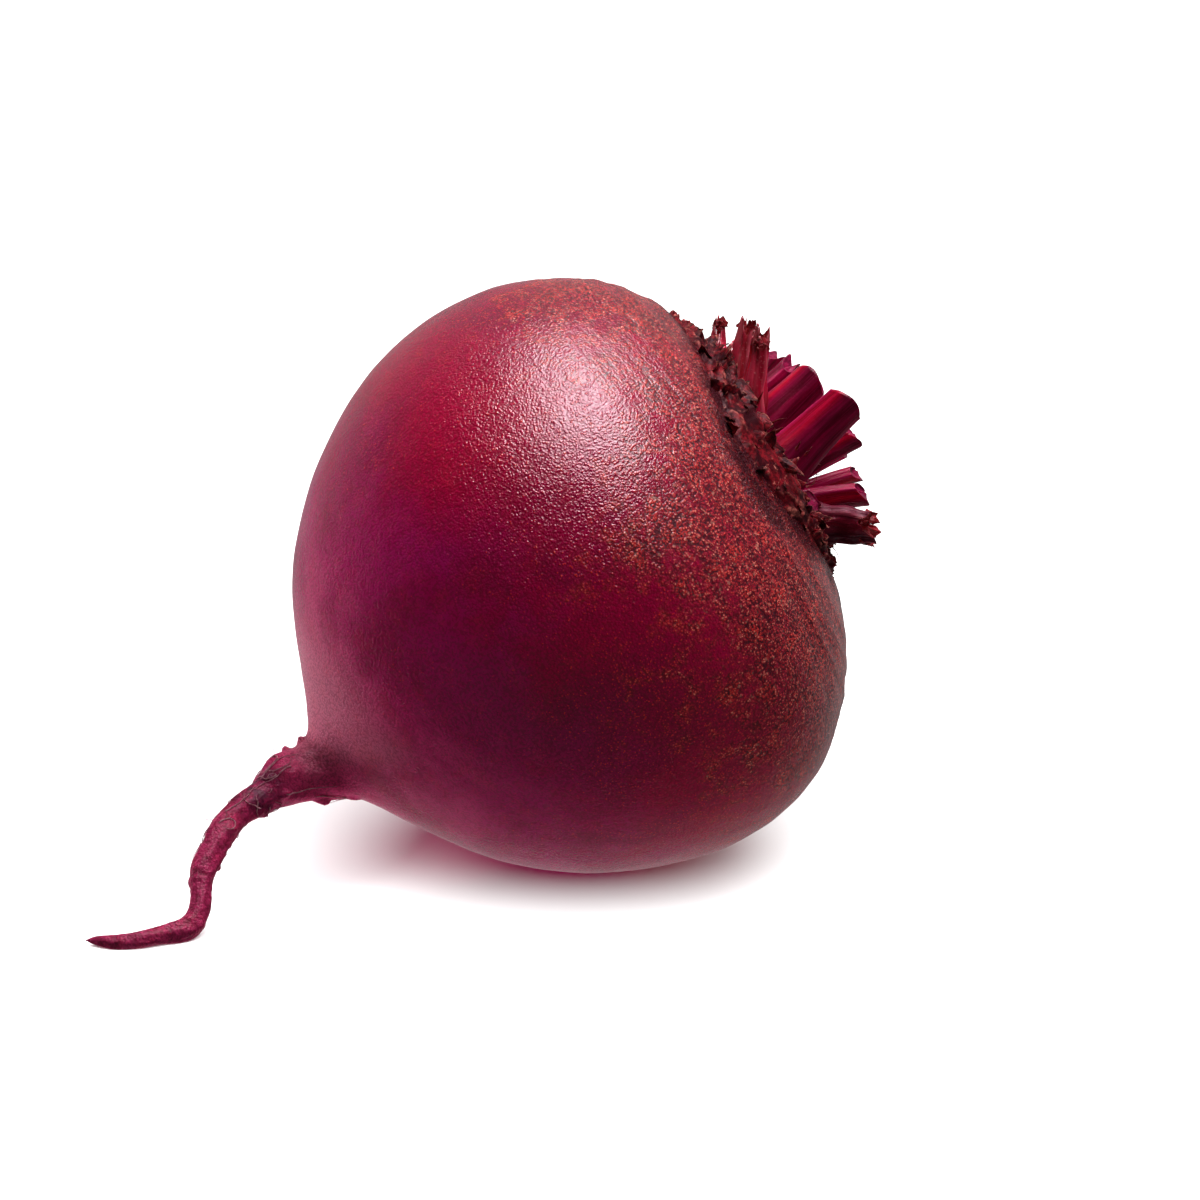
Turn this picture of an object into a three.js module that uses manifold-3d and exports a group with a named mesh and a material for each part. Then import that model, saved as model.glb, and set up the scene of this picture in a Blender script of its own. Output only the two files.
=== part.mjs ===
// A whole raw beetroot with its tail and the cut stubs of its leaf stalks, lying as picked on its side.
// Millimetres, +Z up. The origin is the middle of the small flat spot that the bulb rests on, and the
// crown end points along +X and up. Every piece is one closed body.
import * as THREE from "three";
import { mergeVertices } from "three/addons/utils/BufferGeometryUtils.js";
import Module from "manifold-3d";

const wasm = await Module();
wasm.setup();

// Driving dimensions, in millimetres and degrees
const BULB_RADIUS = 42; // half the widest diameter
const AXIS_RISE = 30.5; // how far the crown end of the bulb's axis points above the horizontal
const REST_DEPTH = 0.6; // how much the bulb is flattened where it rests
const CROWN_ALONG = 32.5; // from the bulb's centre to the crown's middle, along the axis
const CROWN_UP = 2.7; // how far the crown's middle lies off the axis, upward
const CROWN_NEAR = 1.2; // how far the crown's middle lies off the axis, toward -Y
const CROWN_TURN = 24; // turn of the crown about the axis
const NECK_DROP = 0.8; // how far the neck sags off the axis
const CROWN_NOD = 8; // tilt of the crown toward its near side
const CROWN_DROOP = 3.8; // tilt of the crown's rim toward its lower side
const GAP = 0.3; // between pieces that grow out of each other
const ROOT_SIDES = 34;
const ROOT_RINGS = 78;
const STALK_SIDES = 16;
const STALK_STEPS = 4;

// Half the bulb's outline, from the crown to the neck: [along the axis, out] in shares of BULB_RADIUS
const BULB_OUTLINE = [
  [0.738, 0.0],
  [0.738, 0.14],
  [0.737, 0.27],
  [0.735, 0.38],
  [0.723, 0.48],
  [0.7, 0.585],
  [0.611, 0.735],
  [0.495, 0.847],
  [0.33, 0.949],
  [0.16, 0.994],
  [0.0, 0.998],
  [-0.166, 0.968],
  [-0.345, 0.899],
  [-0.506, 0.805],
  [-0.64, 0.694],
  [-0.75, 0.576],
  [-0.84, 0.44],
  [-0.905, 0.315],
  [-0.965, 0.2],
  [-1.03, 0.12],
];

// The tail below the neck: the middle of each place that it passes, and its radius there
const TAIL = [
  [-45.8, -1.1, 16.2, 3.6],
  [-49.4, -2.4, 14.6, 2.45],
  [-52.9, -3.8, 13.3, 2.05],
  [-56.0, -5.9, 11.5, 2.0],
  [-58.0, -7.9, 9.5, 1.95],
  [-59.8, -9.9, 7.5, 1.8],
  [-60.6, -11.7, 5.4, 1.45],
  [-61.3, -13.3, 3.4, 1.5],
  [-63.0, -14.4, 1.75, 1.65],
  [-66.4, -14.9, 1.3, 1.35],
  [-69.9, -15.2, 1.1, 1.15],
  [-73.1, -14.5, 0.95, 1.0],
  [-75.4, -12.9, 0.85, 0.6],
];

// Stumps of side roots: [distance below the bulb's centre, turn from the top toward +Y, height, half
// width], in millimetres and degrees
const SIDE_ROOT_STUMPS = [
  [44.0, 24, 1.2, 1.2],
  [47.0, 30, 1.4, 1.1],
  [46.2, -156, 1.4, 1.3],
  [42.6, -150, 0.7, 1.2],
  [51.6, -100, 0.6, 0.9],
  [55.0, -160, 0.5, 0.8],
  [61.4, -90, 0.6, 0.8],
  [66.8, 200, 0.6, 0.8],
  [70.0, 60, 0.4, 0.7],
];

// The leaf stalks: [name, base, tip, width, thickness, kind of end, taper]. base and tip are measured
// from the middle of the crown, as [across, near, up]: across is the crown's own upward side, and near
// is the side that faces -Y. The sizes are those of the upper half, as the foot is wider.
const STALKS = [
  ["leaf_stalk_01", [-4.9, 11.2, -3], [-2.4, 13.4, 12.5], 5.7, 4.2, "cut", 0],
  ["leaf_stalk_02", [0.8, 5.0, -3], [2.9, 6.2, 10.9], 5.6, 4.2, "cut", 0],
  ["leaf_stalk_03", [-5.4, 4.4, -3], [-6.8, 5.4, 10.6], 4.8, 3.8, "cut", 0],
  ["leaf_stalk_04", [-8.4, -0.6, -3], [-11.3, -0.6, 8.4], 5.0, 3.2, "cut", 0],
  ["leaf_stalk_05", [-10.0, 4.8, -3], [-14.5, 6.6, 7.1], 5.2, 3.4, "cut", 0],
  ["leaf_stalk_06", [5.0, -0.4, -3], [6.1, -1.0, 9.3], 3.8, 3.2, "slant", 0],
  ["leaf_stalk_07", [6.8, -5.4, -3], [8.2, -7.0, 8.6], 4.4, 3.4, "slant", 0],
  ["leaf_stalk_08", [-1.8, -0.4, -3], [-2.2, -0.6, 9.0], 4.2, 3.4, "cut", 0],
  ["leaf_stalk_09", [1.4, -6.4, -3], [2.0, -9.2, 10.4], 5.4, 4.0, "cut", 0],
  ["leaf_stalk_10", [-5.0, -5.6, -3], [-6.8, -8.2, 9.4], 5.2, 4.0, "cut", 0],
  ["leaf_stalk_11", [-1.8, -11.6, -3], [-2.4, -16.0, 8.6], 6.0, 4.2, "cut", 0],
  ["leaf_stalk_12", [-9.6, -8.6, -3], [-13.4, -12.4, 6.6], 5.4, 3.8, "cut", 0],
  ["torn_stalk_1", [1.0, 10.0, -2.8], [12.5, 11.8, 7.8], 3.6, 3.0, "torn", 0.35],
  ["torn_stalk_2", [5.0, 6.2, -2.6], [14.5, 7.0, 7.0], 4.4, 3.2, "torn", 0.4],
  ["torn_stalk_3", [9.4, 1.6, -2.6], [16.8, 1.8, 4.4], 4.6, 3.2, "torn", 0.6],
  ["torn_stalk_4", [8.0, -9.4, -2.6], [13.2, -13.6, 5.0], 5.2, 3.6, "torn", 0.4],
  ["dry_stalk_1", [-12.6, 7.4, -3], [-19.0, 9.2, 5.0], 6.6, 4.6, "torn", 0],
  ["dry_stalk_2", [-13.0, -3.6, -3], [-18.0, -4.8, 4.6], 5.4, 3.6, "torn", 0],
  ["flush_stub", [-10.2, 11.2, -4], [-11.8, 13.4, 0.4], 4.8, 3.6, "cut", 0],
];

// The ring of dried leaf bases round the stalks: its section, as [out, up] from the middle of the crown
const SCALE_RING = [
  [14.2, -3.6],
  [20.0, -4.8],
  [20.7, -1.2],
  [19.2, -0.5],
  [17.2, -0.1],
  [15.2, 0.1],
  [14.4, -0.5],
  [14.2, -3.6],
];
const SCALE_SECTORS = 44;
const SCALE_COUNT = 26;
const SCALE_RADIUS = 17.0;
const SCALE_THICKNESS = 0.8;
const NEAR_TURN = 95; // where the ring reaches furthest down the shoulder
const NEAR_SPREAD = 9.5; // how much further it reaches there
const SHOULDER_OUT = 23.3; // where the shoulder starts to fall away
const SHOULDER_FALL = 0.4; // how much it falls for each millimetre outward
const UPPER_TURN = 8; // where the dried leaf bases are shortest

const radians = THREE.MathUtils.degToRad;
const axis = new THREE.Vector3(Math.cos(radians(AXIS_RISE)), 0, Math.sin(radians(AXIS_RISE)));
const upright = new THREE.Vector3(-axis.z, 0, axis.x);

// A repeatable draw between 0 and 1.
function seededDraw(seed) {
  let state = seed >>> 0;
  return () => {
    state = (Math.imul(state, 1664525) + 1013904223) >>> 0;
    return state / 4294967296;
  };
}

// A closed three.js geometry as a solid that can be cut and joined.
function solidFrom(geometry) {
  const bare = new THREE.BufferGeometry().setAttribute("position", geometry.getAttribute("position"));
  if (geometry.index) bare.setIndex(geometry.index);
  const merged = mergeVertices(bare, 1e-4);
  const corners = Array.from(merged.index.array);
  const kept = [];
  for (let i = 0; i < corners.length; i += 3) {
    const [a, b, c] = corners.slice(i, i + 3);
    if (a !== b && b !== c && a !== c) kept.push(a, b, c);
  }
  return new wasm.Manifold(
    new wasm.Mesh({
      numProp: 3,
      vertProperties: merged.attributes.position.array,
      triVerts: new Uint32Array(kept),
    }),
  );
}

// The largest body of a solid, as a three.js geometry.
function geometryFrom(solid) {
  const bodies = solid.decompose().sort((a, b) => b.volume() - a.volume());
  const mesh = bodies[0].getMesh();
  return new THREE.BufferGeometry()
    .setAttribute("position", new THREE.BufferAttribute(mesh.vertProperties, 3))
    .setIndex(new THREE.BufferAttribute(mesh.triVerts, 1));
}

// The bulb's centre: above the origin by as much as the tilted outline reaches below its centre.
function bulbCentre() {
  const points = BULB_OUTLINE.map(([along, out]) => new THREE.Vector2(along, out));
  const lowest = new THREE.SplineCurve(points)
    .getPoints(400)
    .map((p) => new THREE.Vector2(p.x * axis.x + p.y * axis.z, p.x * axis.z - p.y * axis.x))
    .reduce((low, p) => (p.y < low.y ? p : low));
  return new THREE.Vector3(-lowest.x * BULB_RADIUS, 0, -lowest.y * BULB_RADIUS - REST_DEPTH);
}

const near = new THREE.Vector3().crossVectors(axis, upright);
const centre = bulbCentre();

// The crown's own frame: X across, Y near, Z out of the crown, from the middle of the crown.
const crown = new THREE.Matrix4()
  .makeBasis(upright, near, axis)
  .multiply(new THREE.Matrix4().makeRotationZ(-radians(CROWN_TURN)))
  .multiply(new THREE.Matrix4().makeRotationX(-radians(CROWN_NOD)))
  .setPosition(spineMiddle(CROWN_ALONG));
const drooped = crown.clone().multiply(new THREE.Matrix4().makeRotationY(-radians(CROWN_DROOP)));
const crownHeading = new THREE.Vector3(0, 0, 1).transformDirection(drooped);

// The middle of the bulb at a distance along its axis, which bends gently toward the crown.
function spineMiddle(along) {
  const bend = (Math.max(along, 0) / CROWN_ALONG) ** 2;
  const sag = THREE.MathUtils.smoothstep(-along, 32, 44);
  return centre
    .clone()
    .addScaledVector(axis, along)
    .addScaledVector(upright, CROWN_UP * bend - NECK_DROP * sag)
    .addScaledVector(near, CROWN_NEAR * bend);
}

// Every station of the root, from the crown to the tip of the tail.
function rootStations() {
  const bulb = BULB_OUTLINE.map(([share, out]) => {
    const along = share * BULB_RADIUS;
    const blend = THREE.MathUtils.clamp(along / CROWN_ALONG, 0, 1) ** 1.5;
    const heading = axis.clone().lerp(crownHeading, blend).normalize();
    return { middle: spineMiddle(along), radius: out * BULB_RADIUS, along, heading };
  });
  const stations = [...bulb];
  for (const [x, y, z, radius] of [...TAIL, [-76.6, -12.0, 0.75, 0]]) {
    const middle = new THREE.Vector3(x, y, z);
    const before = stations[stations.length - 1];
    const step = before.middle.clone().sub(middle);
    const heading = step.clone().normalize();
    if (stations.length > bulb.length) before.heading.add(heading).normalize();
    stations.push({ middle, radius, along: before.along - step.length(), heading });
  }
  return stations;
}

// How far the root's surface stands out of its smooth outline, at a place along it and a turn about it.
function relief(along, turn, radius) {
  const { smoothstep } = THREE.MathUtils;
  const onBulb = smoothstep(along, -46, -30);
  const nearCrown = smoothstep(along, 20, 27) * (1 - smoothstep(along, 32, 34));
  const facing = Math.sin(turn - radians(CROWN_TURN)) ** 2;
  const lobes = 0.007 * Math.cos(3 * turn + 0.03 * along) + 0.006 * Math.sin(0.07 * along + 2 * turn);
  const folds = 0.05 * Math.cos(5 * turn + 0.8 * along) + 0.07 * Math.sin(1.1 * along);
  let height = radius * lobes * facing * onBulb + Math.min(radius, 3) * folds * (1 - onBulb);
  height += 0.25 * Math.sin(2.4 * along + 0.6 * Math.sin(3 * turn)) * nearCrown;
  for (const [below, degrees, tall, half] of SIDE_ROOT_STUMPS) {
    const round = Math.atan2(Math.sin(turn - radians(degrees)), Math.cos(turn - radians(degrees)));
    const away = Math.hypot(round * radius, along + below);
    height += tall * Math.exp(-((away / half) ** 2));
  }
  return height;
}

// The rings that carry the root's surface, spaced along its bulb and tail.
function rootFrames() {
  const stations = rootStations();
  const middles = new THREE.CatmullRomCurve3(stations.map((s) => s.middle), false, "catmullrom", 0.5);
  const headings = new THREE.CatmullRomCurve3(stations.map((s) => s.heading), false, "catmullrom", 0.5);
  const sizes = new THREE.SplineCurve(stations.map((s) => new THREE.Vector2(s.radius, s.along)));
  const frames = [];
  let across = upright.clone();
  for (let ring = 0; ring <= ROOT_RINGS; ring++) {
    const share = ring / ROOT_RINGS;
    const heading = headings.getPoint(share).normalize();
    across = across.clone().addScaledVector(heading, -across.dot(heading)).normalize();
    const size = sizes.getPoint(share);
    frames.push({
      along: size.y,
      middle: middles.getPoint(share),
      radius: ring === 0 || ring === ROOT_RINGS ? 0 : Math.max(size.x, 0.15),
      across,
      side: new THREE.Vector3().crossVectors(across, heading),
    });
  }
  return frames;
}

// The bulb and its tail as one closed surface: a turned blank whose rings are carried to the frames.
function rootGeometry() {
  const frames = rootFrames();
  const lathe = new THREE.LatheGeometry(
    frames.map((frame, ring) => new THREE.Vector2(frame.radius, ring)),
    ROOT_SIDES,
  );
  const position = lathe.getAttribute("position");
  for (let i = 0; i < position.count; i++) {
    const turn = (2 * Math.PI * (Math.floor(i / frames.length) % ROOT_SIDES)) / ROOT_SIDES;
    const { along, middle, radius, across, side } = frames[i % frames.length];
    const reach = radius > 0 ? radius + relief(along, turn, radius) : 0;
    const p = middle
      .clone()
      .addScaledVector(across, reach * Math.cos(turn))
      .addScaledVector(side, reach * Math.sin(turn));
    position.setXYZ(i, p.x, p.y, p.z);
  }
  return lathe;
}

// The root, flattened by the surface that it lies on.
function rootSolid() {
  const below = new THREE.BoxGeometry(400, 400, 40).translate(0, 0, -20);
  return solidFrom(rootGeometry()).subtract(solidFrom(below));
}

// The section of a leaf stalk, one unit wide and thick: rounded and ribbed outside, grooved inside.
function stalkSection() {
  const points = [];
  for (let i = 0; i < STALK_SIDES; i++) {
    const turn = (2 * Math.PI * i) / STALK_SIDES;
    const groove = Math.sin(turn) < 0 ? 1 - 0.62 * Math.sin(turn) ** 4 : 1;
    const rib = 1 + 0.035 * Math.cos(5 * turn);
    points.push(new THREE.Vector2(0.5 * rib * Math.cos(turn), 0.5 * rib * groove * Math.sin(turn)));
  }
  return new THREE.Shape(points);
}

// How far the end of a stalk stands past its tip, at a place on the section: a torn end has three broad
// points, which start at phase, and the others are cut with one stroke.
function endReach(kind, across, out, phase) {
  if (kind === "torn") {
    const turn = Math.atan2(out, across) / (2 * Math.PI);
    const point = Math.abs(((3 * turn + phase + 4) % 1) - 0.5);
    return 5.2 * point - 1.6 - 1.2 * Math.abs(across);
  }
  if (kind === "slant") return 0.8 - 4.0 * Math.abs(across - 0.12);
  return 0.9 * out - 4.6 * across * across - 0.3;
}

// The line that a stalk follows, from its base to its tip.
function stalkBend(base, tip) {
  const start = new THREE.Vector3(...base);
  const finish = new THREE.Vector3(...tip);
  const lean = start.clone().add(finish).multiply(new THREE.Vector3(0.35, 0.35, 0.45));
  const middle = start.clone().lerp(finish, 0.5);
  return new THREE.QuadraticBezierCurve3(start, lean.lerp(middle, 0.75), finish);
}

// One stalk: the section carried along its bend, with a wide foot. grow widens it all over.
function stalkSolid([, base, tip, width, thick, end, taper], seed, grow = 0) {
  const bend = stalkBend(base, tip);
  const outward = new THREE.Vector3(tip[0], tip[1], 0).normalize();
  const phase = seededDraw(seed)();
  const bar = new THREE.ExtrudeGeometry(stalkSection(), {
    depth: 1,
    steps: STALK_STEPS,
    bevelEnabled: false,
  });
  const position = bar.getAttribute("position");
  for (let i = 0; i < position.count; i++) {
    const [x, y, share] = [position.getX(i), position.getY(i), position.getZ(i)];
    const ahead = bend.getTangent(share);
    const out = outward.clone().addScaledVector(ahead, -outward.dot(ahead)).normalize();
    const side = new THREE.Vector3().crossVectors(out, ahead);
    const foot = 1 + 0.5 * (1 - share) ** 2 - taper * share ** 3;
    const p = bend
      .getPoint(share)
      .addScaledVector(side, x * (width * foot + 2 * grow))
      .addScaledVector(out, y * (thick * foot + 2 * grow));
    if (share > 0.999) p.addScaledVector(ahead, endReach(end, x, y, phase) + grow);
    position.setXYZ(i, p.x, p.y, p.z);
  }
  return solidFrom(bar.applyMatrix4(crown));
}

// How near one turn round the crown is to another, from 1 to 0: it fades over about 30 degrees.
function nearness(turn, degrees) {
  const off = turn - radians(degrees);
  const away = Math.atan2(Math.sin(off), Math.cos(off)) / radians(32);
  return Math.exp(-(away ** 2));
}

// One dried leaf base: a thin pointed flap that stands on the ring, leans along it and flares out.
function scaleSolid(turn, outward, wide, tall, flare, skew) {
  const outline = new THREE.Shape();
  outline.moveTo(-0.5 * wide, -1.2);
  outline.lineTo(0.5 * wide, -1.2);
  outline.lineTo(0.42 * wide, 0.35 * tall);
  outline.lineTo(0.12 * wide, 0.62 * tall);
  outline.lineTo(0.02 * wide, tall);
  outline.lineTo(-0.24 * wide, 0.58 * tall);
  outline.lineTo(-0.46 * wide, 0.3 * tall);
  const flap = new THREE.ExtrudeGeometry(outline, {
    depth: SCALE_THICKNESS,
    steps: 1,
    bevelEnabled: false,
  });
  const far = SCALE_RADIUS + outward * NEAR_SPREAD;
  const low = SHOULDER_FALL * Math.max(far - SHOULDER_OUT, 0) + 0.4;
  const placed = new THREE.Matrix4()
    .makeRotationZ(turn + Math.PI / 2)
    .multiply(new THREE.Matrix4().makeTranslation(0, -far, -low))
    .multiply(new THREE.Matrix4().makeRotationX(Math.PI / 2 + flare))
    .multiply(new THREE.Matrix4().makeRotationZ(skew));
  return solidFrom(flap.applyMatrix4(placed).applyMatrix4(drooped));
}

// The ring that joins the dried leaf bases, lying on the shoulder of the crown.
function scaleRing() {
  const profile = SCALE_RING.map(([out, up]) => new THREE.Vector2(out, up));
  const ring = new THREE.LatheGeometry(profile, SCALE_SECTORS).rotateX(Math.PI / 2);
  const position = ring.getAttribute("position");
  const draw = seededDraw(7);
  const rough = Array.from({ length: SCALE_SECTORS }, () => [0.9 * draw() - 0.4, 0.8 * draw() - 0.1]);
  for (let i = 0; i < position.count; i++) {
    const [x, y, z] = [position.getX(i), position.getY(i), position.getZ(i)];
    const [wider, lift] = z < -2 ? [0, 0] : rough[Math.floor(i / profile.length) % SCALE_SECTORS];
    const out = Math.hypot(x, y);
    const outward = THREE.MathUtils.smoothstep(out, 15.5, 20) * nearness(Math.atan2(y, x), NEAR_TURN);
    const far = out + wider + outward * NEAR_SPREAD;
    const low = SHOULDER_FALL * Math.max(far - SHOULDER_OUT, 0);
    position.setXYZ(i, (x * far) / out, (y * far) / out, z + lift - low);
  }
  return solidFrom(ring.applyMatrix4(drooped));
}

// All the dried leaf bases as one body, clear of the root and of the stalks that stand in it.
function scalesSolid(cutters) {
  const draw = seededDraw(29);
  let joined = scaleRing();
  for (let i = 0; i < SCALE_COUNT; i++) {
    const turn = (2 * Math.PI * (i + 0.5 * draw())) / SCALE_COUNT;
    const outward = nearness(turn, NEAR_TURN) * (i % 2 ? 0.9 : 0.3);
    const wide = 4.0 + 2.6 * draw();
    const tall = (1.8 + 2.6 * draw()) * (1 - 0.75 * nearness(turn, UPPER_TURN));
    const [flare, skew] = [1.0 * draw() - 0.2, 0.8 * draw() - 0.4];
    joined = joined.add(scaleSolid(turn, outward, wide, tall, flare, skew));
  }
  return cutters.reduce((solid, cutter) => solid.subtract(cutter), joined);
}

const skin = new THREE.MeshStandardMaterial({ color: 0x6d1737, roughness: 0.42, metalness: 0 });
const freshStalk = new THREE.MeshStandardMaterial({ color: 0x8e0f46, roughness: 0.3, metalness: 0 });
const tornStalk = new THREE.MeshStandardMaterial({ color: 0x8a2130, roughness: 0.5, metalness: 0 });
const dryStalk = new THREE.MeshStandardMaterial({ color: 0x4c1528, roughness: 0.6, metalness: 0 });
const dryScale = new THREE.MeshStandardMaterial({ color: 0x5b2a2a, roughness: 0.8, metalness: 0 });

// The finish of a stalk, by its name.
function stalkFinish(name) {
  if (name.startsWith("leaf")) return freshStalk;
  return name.startsWith("torn") ? tornStalk : dryStalk;
}

function named(name, solid, material) {
  const mesh = new THREE.Mesh(geometryFrom(solid), material);
  mesh.name = name;
  return mesh;
}

const beetroot = new THREE.Group();
const root = rootSolid();
beetroot.add(named("taproot", root, skin));

// The root grown by the gap, about the bulb's centre, cuts the feet of what stands on the crown.
const clearance = 1 + GAP / CROWN_ALONG;
const place = new THREE.Matrix4()
  .makeTranslation(centre.x, centre.y, centre.z)
  .multiply(new THREE.Matrix4().makeScale(clearance, clearance, clearance))
  .multiply(new THREE.Matrix4().makeTranslation(-centre.x, -centre.y, -centre.z));
const cutters = [solidFrom(geometryFrom(root).applyMatrix4(place))];
STALKS.forEach((stalk, i) => {
  const whole = stalkSolid(stalk, 100 + i);
  const clear = cutters.reduce((solid, cutter) => solid.subtract(cutter), whole);
  beetroot.add(named(stalk[0], clear, stalkFinish(stalk[0])));
  cutters.push(stalkSolid(stalk, 100 + i, GAP));
});
beetroot.add(named("dry_leaf_bases", scalesSolid(cutters), dryScale));

export default beetroot;
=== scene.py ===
"""A whole raw beetroot with its tail and cut leaf stalks, lying on a pale floor in soft studio light.

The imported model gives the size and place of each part. This script replaces each solid with a finer
piece in the same place, gives every piece a procedural finish, and sets the light and the camera.
"""

import logging
import math
import random
from collections.abc import Callable, Iterable, Sequence
from dataclasses import dataclass, field
from enum import Enum

import bmesh
import bpy
from mathutils import Matrix, Vector, noise


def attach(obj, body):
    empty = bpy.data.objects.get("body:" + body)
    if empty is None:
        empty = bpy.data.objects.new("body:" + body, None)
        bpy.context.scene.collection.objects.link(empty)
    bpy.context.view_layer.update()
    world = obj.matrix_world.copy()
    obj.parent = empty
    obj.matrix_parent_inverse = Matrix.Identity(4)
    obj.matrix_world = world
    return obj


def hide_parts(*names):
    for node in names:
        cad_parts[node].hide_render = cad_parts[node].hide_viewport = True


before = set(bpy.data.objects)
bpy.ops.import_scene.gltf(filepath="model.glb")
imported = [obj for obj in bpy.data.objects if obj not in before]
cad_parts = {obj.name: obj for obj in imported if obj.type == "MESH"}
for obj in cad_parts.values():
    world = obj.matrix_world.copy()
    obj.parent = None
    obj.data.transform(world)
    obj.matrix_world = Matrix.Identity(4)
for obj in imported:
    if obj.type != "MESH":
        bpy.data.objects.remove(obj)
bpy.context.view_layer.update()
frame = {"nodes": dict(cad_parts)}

log = logging.getLogger("beetroot")
MM = 0.001

# Sizes that the solids have too: lengths in millimetres, turns round the crown in degrees
BULB_RADIUS = 42.0  # half the widest diameter
AXIS_RISE = math.radians(30.5)  # how far the crown end of the bulb's axis points above the horizontal
REST_DEPTH = 0.6  # how much the bulb is flattened where it rests
CROWN_ALONG = 32.5  # from the bulb's centre to the crown's middle, along the axis
CROWN_UP = 2.7  # how far the crown's middle lies off the axis, upward
CROWN_NEAR = 1.2  # how far the crown's middle lies off the axis, toward -Y
CROWN_TURN = math.radians(24)  # turn of the crown about the axis
CROWN_NOD = math.radians(8)  # tilt of the crown toward its near side
CROWN_DROOP = math.radians(3.8)  # tilt of the crown's rim toward its lower side
NECK_DROP = 0.8  # how far the neck sags off the axis
NECK_SAG = (32.0, 44.0)  # how far below the bulb's centre the sag starts, and where it is full
SHOULDER_OUT = 23.3  # where the shoulder starts to fall away
NEAR_TURN = 95.0  # where the ring of dried leaf bases reaches furthest down the shoulder
UPPER_TURN = 8.0  # where the dried leaf bases are shortest
NEARNESS_ARC = math.radians(32)  # how wide the places round the crown are that those turns stand for

# The scene's own sizes, in millimetres
SKIN_INSET = 0.2  # keeps the round skin within the faceted solid's box
NEAR_SPREAD = 8.3  # less than the solid's, since darkened skin takes the place of the band's outer edge
BAND_FALL = 0.6  # a little steeper than the solid's, so that the band's thin edge meets the skin
THINNEST = 0.12  # the least radius of a ring between the root's two ends
FLOOR_GAP = 0.02  # how far the skin stays above the floor
OUTLINE_STEPS = 400  # how finely the outline is searched for its lowest point
WELD = 1e-7  # points of a shell that are no further apart than this, in metres, become one
SEAM_SHARE = 0.99999  # from this share of the turn on, a point lies on the seam, where the turn is 0

# The numbers of the solids' series of draws
DRAW_FACTOR = 1664525
DRAW_SHIFT = 1013904223
DRAW_COUNT = 2**32

# Half the bulb's outline, from the crown to the neck, as (along the axis, out) in shares of the radius
BULB_OUTLINE = (
    (0.738, 0.0),
    (0.738, 0.14),
    (0.737, 0.27),
    (0.735, 0.38),
    (0.723, 0.48),
    (0.7, 0.585),
    (0.611, 0.735),
    (0.495, 0.847),
    (0.33, 0.949),
    (0.16, 0.994),
    (0.0, 0.998),
    (-0.166, 0.968),
    (-0.345, 0.899),
    (-0.506, 0.805),
    (-0.64, 0.694),
    (-0.75, 0.576),
    (-0.84, 0.44),
    (-0.905, 0.315),
    (-0.965, 0.2),
    (-1.03, 0.12),
)

# The tail below the neck: the middle of each place that it passes, and its radius there
TAIL = (
    (-45.8, -1.1, 16.2, 3.6),
    (-49.4, -2.4, 14.6, 2.45),
    (-52.9, -3.8, 13.3, 2.05),
    (-56.0, -5.9, 11.5, 2.0),
    (-58.0, -7.9, 9.5, 1.95),
    (-59.8, -9.9, 7.5, 1.8),
    (-60.6, -11.7, 5.4, 1.45),
    (-61.3, -13.3, 3.4, 1.5),
    (-63.0, -14.4, 1.75, 1.65),
    (-66.4, -14.9, 1.3, 1.35),
    (-69.9, -15.2, 1.1, 1.15),
    (-73.1, -14.5, 0.95, 1.0),
    (-75.4, -12.9, 0.85, 0.6),
    (-76.6, -12.0, 0.75, 0.0),
)

# Stumps of side roots: (distance below the bulb's centre, turn in degrees, height, half width)
SIDE_ROOT_STUMPS = (
    (44.0, 24, 1.2, 1.2),
    (47.0, 30, 1.4, 1.1),
    (46.2, -156, 1.4, 1.3),
    (42.6, -150, 0.7, 1.2),
    (51.6, -100, 0.6, 0.9),
    (55.0, -160, 0.5, 0.8),
    (61.4, -90, 0.6, 0.8),
    (66.8, 200, 0.6, 0.8),
    (70.0, 60, 0.4, 0.7),
)


def smooth_share(value: float, low: float, high: float) -> float:
    """A share from 0 at low to 1 at high that eases in and out.

    Args:
        value: The number to place.
        low: Where the share is 0.
        high: Where the share is 1.

    Returns:
        The eased share, between 0 and 1.
    """
    share = min(max((value - low) / (high - low), 0.0), 1.0)
    return share * share * (3 - 2 * share)


def nearness(turn: float, degrees: float) -> float:
    """How near one turn round the crown is to another: 1 at the same turn, almost 0 past 60 degrees."""
    away = math.remainder(turn - math.radians(degrees), math.tau) / NEARNESS_ARC
    return math.exp(-away * away)


def first_draw(seed: int) -> float:
    """The first draw, from 0 to 1, of a seed, by which the solids turn their torn ends too."""
    return ((seed * DRAW_FACTOR + DRAW_SHIFT) % DRAW_COUNT) / DRAW_COUNT


def round_spot(turn: float, reach: float, rise: float) -> Vector:
    """A place on a cylinder, where noise is read so that its pattern closes round a form."""
    return Vector((math.cos(turn) * reach, math.sin(turn) * reach, rise))


def spline(points: Sequence[Sequence[float]], share: float) -> Vector:
    """A point on the smooth curve through some points.

    Args:
        points: The points that the curve passes through.
        share: The place along the curve, from 0 to 1.

    Returns:
        The point there, with as many numbers as the given points have.
    """
    place = min(max(share, 0.0), 1.0) * (len(points) - 1)
    first = min(int(place), len(points) - 2)
    t = place - first
    b, c = Vector(points[first]), Vector(points[first + 1])
    a = Vector(points[first - 1]) if first else 2 * b - c
    d = Vector(points[first + 2]) if first + 2 < len(points) else 2 * c - b
    return 0.5 * (2 * b + t * (c - a) + t * t * (2 * a - 5 * b + 4 * c - d) + t**3 * (3 * b - a - 3 * c + d))


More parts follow.
